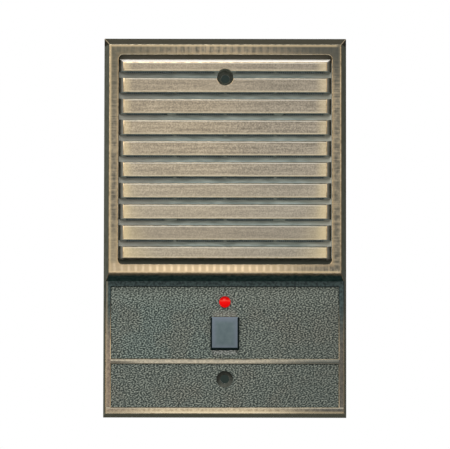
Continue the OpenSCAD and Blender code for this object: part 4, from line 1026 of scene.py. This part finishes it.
def sleeve_film():
    """Shrunk PVC sleeve on an aluminium can: dark blue with a plain pale stripe, bare metal on its end."""
    material, put, spot = begin("capacitor_sleeve_shrunk")
    x, y, _ = put("SeparateXYZ", {"Vector": spot}).outputs
    crease = put("TexNoise", {"Vector": spot, "Scale": 1 / 2.0, "Detail": 3.0})
    film = put("ValToRGB", {"Fac": crease}, stops=[(0.35, "#1d2330"), (0.65, "#2f3849")])
    stripe = put("MapRange", {"Value": x, "From Min": -16.2, "From Max": -16.35})
    striped = put("Mix", {"Factor": stripe, "A": film, "B": "#a9b0b4"}, data_type="RGBA")
    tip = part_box("capacitor")[1].y / MM
    end = put("MapRange", {"Value": y, "From Min": tip - 0.5, "From Max": tip - 0.45})
    can = put("ValToRGB", {"Fac": crease}, stops=[(0.3, "#a7abad"), (0.7, "#c9cccd")])
    colour = put("Mix", {"Factor": end, "A": striped, "B": can}, data_type="RGBA")
    return close(material, colour, (crease, 0.0, 1.0, 0.28, 0.42), (crease, 0.04))


def turned_zinc():
    """Zinc-plated steel with the fine rings that a turning tool leaves about the loudspeaker's axis."""
    material, put, spot = begin("zinc_plated_steel_turned", METAL)
    apart = put("VectorMath", {0: spot, 1: (0, 0, SPEAKER_Z)}, operation="SUBTRACT")
    level = put("VectorMath", {0: apart, 1: (1, 0, 1)}, operation="MULTIPLY")
    radius = put("VectorMath", {0: level}, operation="LENGTH")
    rings = put("TexNoise", {"W": radius, "Scale": 1 / 0.4, "Detail": 2.0}, noise_dimensions="1D")
    clouds = put("TexNoise", {"Vector": spot, "Scale": 1 / 7.0, "Detail": 3.0})
    part = put("Math", {0: clouds, 1: 0.5, 2: 0.0}, operation="MULTIPLY_ADD")
    tone = put("Math", {0: rings, 1: 0.5, 2: part}, operation="MULTIPLY_ADD")
    stops = [(0.35, "#7f8486"), (0.5, "#92979a"), (0.65, "#a5a9a9")]
    colour = put("ValToRGB", {"Fac": tone}, stops=stops)
    return close(material, colour, (tone, 0.3, 0.7, 0.46, 0.36), (rings, 0.004))


# Plain finishes: name, tones, grain in millimetres, roughness, relief in millimetres, sockets and stretch
PLAIN = {
    # Zinc-plated sheet, pressed: bright grey with rolled streaks and a faint blue passivation
    "zinc_sheet": ("zinc_plated_steel_pressed", "#82898d #949b9e #a6abab",
                   6.0, (0.46, 0.36), 0.006, METAL, (1, 1, 0.3)),
    # Zinc-plated screws, cold headed
    "zinc_screw": ("zinc_plated_screw_headed", "#858b8f #a4a9ab #c0c3c2", 1.2, (0.4, 0.25), 0.02, METAL),
    # Sintered ferrite, ground: matte charcoal with pale pinholes
    "ferrite": ("ferrite_sintered", "#2a2b2d #38393b #4b4b4c", 1.1, (0.75, 0.6), 0.05, SATIN),
    # Grey strawboard, die cut
    "card": ("strawboard_die_cut", "#463e34 #5b5246 #6f6555", 0.9, (0.95, 0.85), 0.06, SATIN, (1, 0.3, 1)),
    # Pulp paper, felted on a mould: dark fibres
    "pulp": ("paper_pulp_felted", "#1d1c1b #2b2a29 #3f3d3a", 0.9, (0.95, 0.8), 0.08, SATIN, (1, 1, 0.5)),
    # Calendered paper, pressed into a dome
    "pressed_paper": ("paper_pressed_dome", "#1a1a1d #252528 #353538", 1.2, (0.8, 0.6), 0.04, SATIN),
    # Enamelled copper wire: a brown-red lacquer over bright metal
    "enamelled_copper": ("copper_wire_enamelled", "#8a4722 #b3663a #cc8150", 0.9, (0.4, 0.26), 0.01, METAL),
    # Copper foil, etched and roller tinned
    "tinned_foil": ("copper_foil_tinned", "#77746c #918d83 #a8a397", 1.1, (0.5, 0.36), 0.02, METAL),
    # Kraft paper, rolled into a tube
    "kraft": ("kraft_paper_rolled", "#8f6a3c #b08752 #c7a06c", 1.4, (0.85, 0.7), 0.03, SATIN, (1, 0.3, 1)),
    # Open-cell foam, punched: black with pits
    "foam": ("polyurethane_foam_punched", "#0f0f10 #1d1d1f #303032", 0.8, (1.0, 0.9), 0.25, SATIN),
    # Phenolic paper laminate, sheared: amber brown with a paper mottle
    "board_laminate": ("phenolic_laminate_sheared", "#6a4a22 #80602f #94723c",
                       2.2, (0.55, 0.4), 0.02, SATIN, (1, 1, 0.4)),
    "tag_laminate": ("phenolic_laminate_punched", "#4c2b16 #643b20 #7b4d2c",
                     1.4, (0.55, 0.42), 0.03, SATIN, (0.4, 1, 1)),
    # Tinned brass, stamped and dipped
    "tin": ("tinned_brass_stamped", "#a9a590 #c4bfac #d8d5c6", 1.3, (0.4, 0.26), 0.03, METAL),
    # Soft solder, melted and set
    "solder": ("tin_solder_set", "#505254 #666869 #7e8081", 0.8, (0.6, 0.48), 0.04, METAL),
    # Brass, turned and stamped
    "brass": ("brass_stamped", "#957334 #bd9748 #d9b767", 1.8, (0.42, 0.28), 0.02, METAL),
    "clamp_steel": ("nickel_plated_steel_stamped", "#96968f #b3b3ad #cbcbc6",
                    1.4, (0.4, 0.26), 0.02, METAL),
    # Spring wire, drawn: long fine draw marks
    "drawn_wire": ("spring_wire_drawn", "#8d9194 #b4b8bb #d2d5d6", 0.7, (0.34, 0.2), 0.01, METAL),
    # Black mouldings with a spark-eroded texture
    "guide_black": ("acetal_black_moulded", "#222427 #2f3134 #3d4043", 0.7, (0.6, 0.45), 0.04, SATIN),
    "switch_black": ("nylon_black_moulded", "#18191b #242628 #323437", 0.5, (0.55, 0.4), 0.03, SATIN),
    "block_black": ("phenolic_black_moulded", "#141517 #1f2022 #303134", 1.5, (0.42, 0.26), 0.02),
    "ivory": ("acetal_ivory_moulded", "#c9c4b5 #d8d4c8 #e4e1d8", 1.2, (0.5, 0.38), 0.02, SATIN),
    # Red epoxy, cast round the lamp's die
    "lamp_epoxy": ("red_epoxy_cast", "#8f1b17 #bd2b25 #d8443c", 1.6, (0.25, 0.15), 0.01),
    # Soft PVC, extruded over stranded wire
    "pvc_red": ("pvc_red_extruded", "#8f1a16 #b3241f #c83a33",
                2.0, (0.5, 0.36), 0.03, SATIN, (1, 0.4, 0.4)),
    "pvc_black": ("pvc_black_extruded", "#131315 #1e1e20 #2d2d30",
                  2.0, (0.5, 0.36), 0.03, SATIN, (1, 0.4, 0.4)),
    # Near black on the button's flanks and foot: painted shade where the slate ABS lies in shadow
    "button_flank_painted_shade": ("slate_abs_moulded_flank", "#0b1515 #111f1f #182a2a", 1.0, (0.6, 0.5), 0.01, MATTE),
}
FINISH = {key: surface(*row) for key, row in PLAIN.items()}
FINISH.update(zinc_turned=turned_zinc(), lens=lens_acrylic(), resistor=banded_coat(), sleeve=sleeve_film())

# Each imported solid, its finish, its slot in the record and the rounding of its edges in millimetres
DRESSED = [
    ("speaker_basket", "zinc_sheet", "basket_steel", 0.12),
    ("cone_edge_ring", "card", "edge_card", 0.15),
    ("speaker_cone", "pulp", "cone_paper", 0.0),
    ("dust_cap", "pressed_paper", "cap_paper", 0.0),
    ("voice_coil_former", "kraft", "former_paper", 0.0),
    ("front_pole_plate", "zinc_turned", "pole_steel", 0.2),
    ("ring_magnet", "ferrite", "magnet_ferrite", 0.2),
    ("pole_yoke", "zinc_turned", "pole_steel", 0.2),
    ("tag_board", "tag_laminate", "tag_laminate", 0.1),
    ("solder_tags", "tin", "tag_tin", 0.1),
    ("tag_rivets", "brass", "rivet_brass", 0.15),
    ("speaker_screws", "zinc_screw", "screw_steel", 0.1),
    ("board_screws", "zinc_screw", "screw_steel", 0.1),
    ("switch_plunger", "ivory", "plunger_ivory", 0.15),
    ("button_guide", "guide_black", "guide_black", 0.2),
    ("momentary_switch", "switch_black", "switch_black", 0.2),
    ("led_lens", "lens", "lens_red", 0.0),
    ("led_lamp", "lamp_epoxy", "lamp_red", 0.0),
    ("led_legs", "tin", "tag_tin", 0.05),
    ("circuit_board", "board_laminate", "board_laminate", 0.12),
    ("terminal_block", "block_black", "block_black", 0.25),
    ("terminal_plates", "brass", "contact_brass", 0.12),
    ("wire_clamps", "clamp_steel", "clamp_steel", 0.12),
    ("terminal_screws", "brass", "contact_brass", 0.1),
    ("resistor", "resistor", "resistor_coat", 0.0),
    ("capacitor", "sleeve", "capacitor_sleeve", 0.0),
]
for node, key, slot, width in DRESSED:
    dress(node, FINISH[key], slot, width)


def grille_screen():
    """The gauze sheet: black as woven on its back, and pale teal on its front as painted light, so the shaded
    slots read teal.
    """
    shape = merged("grille_screen")
    # Faces that look forward take the painted light
    for face in shape.faces:
        face.material_index = 1 if face.normal.y < -0.5 else 0
    shade(shape)
    bare = woven("fibre_gauze_woven", 1.1, "#17191a", "#4a4e50", (0.95, 0.75), 0.12, MATTE)
    lit_front = woven("fibre_gauze_front_painted_light", 1.1, "#8aa0a2", "#ccdcdc", (0.95, 0.75), 0.12, MATTE)
    area = sum(face.calc_area() for face in shape.faces if face.normal.y < -0.5)
    piece = link("grille_gauze", to_mesh(shape, "grille_gauze", bare, lit_front))
    return hang(piece, "plate", "screen_black", "grille_screen")


def push_button():
    """The call button: a slate face with its flanks and foot painted near black as shade, its edges eased."""
    shape = merged("push_button")
    # Faces that look forward or up keep the slate, and the rest take the painted shade
    for face in shape.faces:
        out = face.normal
        lit = out.y < -0.99 or (out.z > 0.5 and out.y < -0.5)
        face.material_index = 0 if lit and face.calc_center_median().y < PANEL_Y * MM else 1
    # A wide eased foot takes the painted shade too, standing in for the shadow under the button
    front = min(shape.faces, key=lambda f: f.calc_center_median().y)
    foot = min(front.edges, key=lambda e: sum(v.co.z for v in e.verts))
    rounded = ease(shape, [foot], 0.55, 1)
    sharp = [e for e in shape.edges if e.is_convex and e.calc_face_angle(0.0) > math.radians(35)]
    shade(shape, rounded | ease(shape, sharp, 0.12))
    mesh = to_mesh(shape, "push_button_moulding", button_abs(), FINISH["button_flank_painted_shade"])
    piece = link("push_button_moulding", mesh)
    return hang(piece, "button", "button_slate", "push_button")


grille_screen()
push_button()


# Soft and wound pieces

def foam_gasket():
    """The foam ring, squeezed between the screen and the flange so that its flanks bulge."""
    low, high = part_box("speaker_gasket")
    outer, inner = high.x / MM, 29.59
    front, back = low.y / MM, high.y / MM
    bulge, steps, corner = 0.35, 8, 0.3
    flank = [math.pi * i / steps for i in range(steps + 1)]
    ys = [front + corner + (back - front - 2 * corner) * i / steps for i in range(steps + 1)]
    outside = [(outer - bulge + bulge * math.sin(a), y) for a, y in zip(flank, ys)]
    inside = [(inner + bulge - bulge * math.sin(a), y) for a, y in zip(reversed(flank), reversed(ys))]
    tops = [(outer - bulge - corner, back), (inner + bulge + corner, back)]
    feet = [(inner + bulge + corner, front), (outer - bulge - corner, front)]
    shape = turned(outside + tops + inside + feet, 120, SPEAKER_Z)
    piece = link("foam_gasket_ring", to_mesh(shape, "foam_gasket_ring", FINISH["foam"]))
    return hang(piece, "plate", "gasket_foam", "speaker_gasket")


def flexing_ring(name, outline, material, slot, node):
    """A turned ring that is held by the plate at its rim and follows the cone at its neck."""
    piece = link(name, to_mesh(turned(outline, 144, SPEAKER_Z), name, material))
    radii = [r for r, _ in outline]
    inner, outer = min(radii), max(radii)
    axis = Vector((0, FLANGE_Y, SPEAKER_Z)) * MM
    rim, neck = (axis + Vector((radius, 0, 0)) * MM for radius in (outer, inner))
    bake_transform(piece, "plate", "cone", start=rim, end=neck)
    weights = piece.data.attributes["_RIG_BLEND"].data
    for vert, weight in zip(piece.data.vertices, weights):
        radius = math.hypot(vert.co.x, vert.co.z - axis.z) / MM
        share = min(1.0, max(0.0, (outer - radius) / (outer - inner)))
        weight.value = share * share * (3 - 2 * share)
    return stand_for(piece, slot, node)


def rolled_outline(start, end, depth, waves, height, land, steps=14):
    """A run of waves in depth from one radius to another with a flat land beyond, thickened by the cloth."""
    count = waves * steps
    run = []
    for i in range(count + 1):
        share = i / count
        wave = height / 2 * math.sin(2 * math.pi * waves * share)
        run.append((start + share * (end - start), FLANGE_Y + depth + wave))
    run += land
    return run + [(r, y + CLOTH_T) for r, y in reversed(run)]


surround_land = [(28.3, FLANGE_Y + 1.4), (30.5, FLANGE_Y + 1.4)]
spider_land = [(15.2, FLANGE_Y + 10.6), (17.4, FLANGE_Y + 10.6)]
surround_finish = woven("doped_cotton_woven", 0.45, "#0e0e10", "#2c2c2f", (0.7, 0.45), 0.04, SATIN)
spider_finish = woven("resin_cotton_woven", 0.6, "#6f4f1c", "#c29a4c", (0.85, 0.65), 0.06, SATIN)
tinsel_finish = braid("copper_tinsel_braided", "#6b4a20", "#d6b06c", 0.9)


def tinsel_braids():
    """Two slack braids from the back of the cone, round one bend, down to the tags."""
    start, end, bend, steps = (-0.3, 10.25), (BRAID_END_Y, BRAID_END_Z), 4.0, 10
    meshes = []
    for side in (-1, 1):
        turns = [math.pi / 2 * i / steps for i in range(steps + 1)]
        corner = [(end[0] - bend + bend * math.sin(a), start[1] - bend + bend * math.cos(a)) for a in turns]
        route = [start, *corner, end]
        path = path_mesh([(side * TAG_X, y, z) for y, z in route])
        meshes.append(grow("braid", wire, path, Radius=0.5 * MM, Sides=14, Material=tinsel_finish))
    piece = joined_piece("tinsel_braids", *meshes)
    cone_end, tag_end = Vector((0, start[0], start[1])) * MM, Vector((0, end[0], end[1])) * MM
    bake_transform(piece, "plate", "cone", start=tag_end, end=cone_end)
    return stand_for(piece, "tinsel_braid", "tinsel_leads")


def coil_route(node, radius, gauge, turns, rings, middle, closing=0.0):
    """A coil about Y from end to end of a solid, its turns closer at both ends by a share."""
    low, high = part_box(node)
    front, back = low.y / MM + gauge, high.y / MM - gauge
    route = []
    for i in range(turns * rings + 1):
        share = i / (turns * rings)
        angle = 2 * math.pi * turns * share
        depth = front + (back - front) * (share - closing * math.sin(2 * math.pi * share) / (2 * math.pi))
        route.append((radius * math.cos(angle), depth, middle + radius * math.sin(angle)))
    return path_mesh(route)


def return_spring():
    """The button's spring: one drawn wire, wound closer at both ends than in its middle."""
    gauge = 0.3
    path = coil_route("button_spring", 5.5, gauge, turns=5, rings=36, middle=BUTTON_Z, closing=0.5)
    mesh = grow("return_spring", wire, path, Radius=gauge * MM, Sides=12, Material=FINISH["drawn_wire"])
    piece = hang(link("return_spring", mesh), "plate", "spring_steel", "button_spring")
    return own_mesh(piece)


def coil_winding():
    """The voice coil: one layer of enamelled wire, wound side by side on the former."""
    low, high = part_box("voice_coil_winding")
    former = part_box("voice_coil_former")[1].x / MM
    gauge = (high.x / MM - former) / 2
    turns = int((high.y - low.y) / MM / (2 * gauge))
    path = coil_route("voice_coil_winding", former + gauge, gauge, turns, rings=40, middle=SPEAKER_Z)
    mesh = grow("coil_wire", wire, path, Radius=gauge * MM, Sides=10, Material=FINISH["enamelled_copper"])
    return hang(link("coil_wire", mesh), "cone", "coil_copper", "voice_coil_winding")


def board_traces():
    """Foil runs on the back of the board, between the joints and the terminals."""
    foil, inner, outer = 0.05, 3.7, 11.1
    left_leg, right_leg = RESISTOR_X - RESISTOR_LEG_X, RESISTOR_X + RESISTOR_LEG_X
    runs = [
        [(LED_LEG_X, LED_Z), (3.5, -40.5), (left_leg, RESISTOR_Z)],
        [(LEAD_PAD_X, LEAD_PAD_Z), (right_leg, -38.5), (right_leg, -52.5), (outer, -56.2),
         (outer, TERMINAL_PAD_Z)],
        [(-LED_LEG_X, LED_Z), (-LED_LEG_X, -46.0), (inner, -51.0), (inner, TERMINAL_PAD_Z)],
        [(-LEAD_PAD_X, LEAD_PAD_Z), (-13.0, -36.6), (-13.0, -41.0)],
        [(-13.0, -45.0), (-outer, -49.5), (-outer, TERMINAL_PAD_Z)],
        [(SWITCH_PAD_X, SWITCH_PAD_Z), (-inner, -49.0), (-inner, TERMINAL_PAD_Z)],
    ]
    tree = foil_tree()
    sizes = {"Width": 1.5 * MM, "Foil": foil * MM, "Corner": 0.8 * MM, "Material": FINISH["tinned_foil"]}
    paths = [path_mesh([(x, BOARD_BACK_Y + foil / 2, z) for x, z in run]) for run in runs]
    meshes = [grow("run", tree, path, **sizes) for path in paths]
    return hang(joined_piece("board_traces", *meshes), "plate", "tag_tin")


def speaker_lead(side, name, sleeve, slot, node):
    """One insulated lead on a slack curve from the board to its tag, bared at both ends."""
    start = Vector((side * LEAD_PAD_X, BOARD_BACK_Y, LEAD_PAD_Z))
    end = Vector((side * TAG_X, TAG_Y, TAG_FOOT_Z))
    out, rise = Vector((0, 12, 0)), Vector((0, 0, 16))
    hull = [start, start + out, end - rise, end]
    count, bare = 56, 3
    route = []
    for i in range(count + 1):
        t = i / count
        u = 1 - t
        route.append(u ** 3 * hull[0] + 3 * u * u * t * hull[1] + 3 * u * t * t * hull[2] + t ** 3 * hull[3])
    core = grow("core", wire, path_mesh(route), Radius=0.42 * MM, Sides=12, Material=FINISH["tin"])
    jacket = grow("jacket", wire, path_mesh(route[bare:-bare]), Radius=0.75 * MM, Sides=20, Material=sleeve)
    return hang(joined_piece(name, jacket, core), "plate", slot, node)


def solder_joints():
    """A joint where each wire meets the board or a tag."""
    tree = joint_tree()
    sides = (-1, 1)
    board = [(side * LED_LEG_X, LED_Z) for side in sides]
    board += [(RESISTOR_X + side * RESISTOR_LEG_X, RESISTOR_Z) for side in sides]
    board += [(side * LEAD_PAD_X, LEAD_PAD_Z) for side in sides]
    board += [(SWITCH_PAD_X, SWITCH_PAD_Z)]
    overlap = 0.05
    groups = {
        "board_joints": ([(x, BOARD_BACK_Y, z) for x, z in board], (-math.pi / 2, 0, 0)),
        "tag_joints": ([(side * TAG_X, TAG_Y, TAG_FOOT_Z + overlap) for side in sides], (math.pi, 0, 0)),
        "braid_joints": ([(side * TAG_X, BRAID_END_Y, BRAID_END_Z) for side in sides], (0, 0, 0)),
    }
    sizes = {"Foot": 1.15 * MM, "Tip": 0.45 * MM, "Rise": 1.2 * MM, "Material": FINISH["solder"]}
    meshes = [grow(name, tree, path_mesh(spots, joined=False), Turn=turn, **sizes)
              for name, (spots, turn) in groups.items()]
    return hang(joined_piece("solder_joints", *meshes), "plate", "tag_tin")


wire = wire_tree()
foam_gasket()
surround_outline = rolled_outline(26.05, 27.9, depth=1.25, waves=1, height=-0.4, land=surround_land)
flexing_ring("surround_roll", surround_outline, surround_finish, "surround_cloth", "cone_surround")
spider_outline = rolled_outline(7.3, 14.8, depth=10.6, waves=4, height=0.8, land=spider_land)
flexing_ring("spider_disc", spider_outline, spider_finish, "spider_cloth", "spider")
tinsel_braids()
return_spring()
coil_winding()
board_traces()
speaker_lead(1, "speaker_wire_red", FINISH["pvc_red"], "lead_red", "speaker_lead_red")
speaker_lead(-1, "speaker_wire_black", FINISH["pvc_black"], "lead_black", "speaker_lead_black")
solder_joints()


# Stage: camera, floor, background and lamps

def set_camera():
    """The photograph's view: level with the lower part, looking up a little."""
    lens = bpy.data.cameras.new("camera")
    lens.lens = 187.8
    lens.sensor_width = 36.0
    lens.clip_end = 60.0
    camera = link("camera", lens)
    yaw, pitch, roll = math.radians(0.050), math.radians(2.386), math.radians(-0.097)
    turn = Matrix.Rotation(yaw, 4, "Z") @ Matrix.Rotation(pitch, 4, "X") @ Matrix.Rotation(roll, 4, "Y")
    place = Vector((1.047, -1200.0, -48.379)) * MM
    camera.matrix_world = Matrix.Translation(place) @ turn @ Matrix.Rotation(math.pi / 2, 4, "X")
    bpy.context.scene.camera = camera
    return place


def set_world(ambient):
    """White to the eye and to gloss and glass, and a plain ambient level to matte surfaces."""
    world = bpy.data.worlds.new("studio")
    bpy.context.scene.world = world
    world.use_nodes = True
    tree = world.node_tree
    put = partial(add, tree)
    ray = put("LightPath").outputs
    pair = put("Math", {0: ray["Is Camera Ray"], 1: ray["Is Glossy Ray"]}, operation="MAXIMUM")
    seen = put("Math", {0: pair, 1: ray["Is Transmission Ray"]}, operation="MAXIMUM")
    level = put("MapRange", {"Value": seen, "To Min": ambient, "To Max": 1.0})
    background = tree.nodes["Background"]
    background.inputs["Color"].default_value = (1, 1, 1, 1)
    tree.links.new(level.outputs["Result"], background.inputs["Strength"])


def add_lamp(name, place, target, size, radiance):
    """A square soft lamp of a given brightness, aimed at a point."""
    lamp = bpy.data.lights.new(name, "AREA")
    lamp.size = size
    lamp.energy = radiance * math.pi * size * size
    obj = link(name, lamp)
    aim = (Vector(target) - Vector(place)).to_track_quat("-Z", "Y")
    obj.matrix_world = Matrix.Translation(place) @ aim.to_matrix().to_4x4()


def disc(name, radius, matrix, material):
    """A flat round stage piece."""
    shape = bmesh.new()
    bmesh.ops.create_circle(shape, cap_ends=True, segments=96, radius=radius, matrix=matrix)
    obj = link(name, to_mesh(shape, name, material))
    return obj


def pale_floor():
    """A pale sheet that reads as white and keeps a soft shadow."""
    looks = {"Base Color": "#858585", "Specular IOR Level": 0.0, "Roughness": 1.0,
             "Emission Color": "#e0e0e0"}
    material, put, _ = begin("floor_paper_matte", looks)
    return join(material, {"Emission Strength": put("LightPath").outputs["Is Camera Ray"]})


def wall_shade(eye):
    """Two dark discs far behind, on the sight lines through the screw holes, so that these look dark."""
    material, _, _ = begin("wall_box_shade", {"Base Color": "#46524d", "Specular IOR Level": 0.0})
    far = 10.0
    for name, z, radius in (("top_shade", TOP_HOLE_Z, 0.085), ("bottom_shade", BOTTOM_HOLE_Z, 0.055)):
        hole = Vector((0, 0, z)) * MM
        sight = hole - eye
        place = eye + sight * ((far - eye.y) / sight.y)
        disc(name, radius, Matrix.Translation(place) @ Matrix.Rotation(math.pi / 2, 4, "X"), material)


eye = set_camera()
set_world(ambient=0.45)
add_lamp("key", (-0.35, -1.0, 1.25), target=(0, 0, 0), size=1.0, radiance=8.6)
add_lamp("top_box", (0.0, 0.35, 1.05), target=(0, 0.05, 0), size=1.2, radiance=2.4)
add_lamp("rear", (0.3, 1.4, 0.5), target=(0, 0, 0), size=1.0, radiance=3.5)
disc("floor", radius=2.0, matrix=Matrix.Translation((0, 0, -0.30)), material=pale_floor())
wall_shade(eye)
bpy.context.scene.view_settings.view_transform = "Standard"
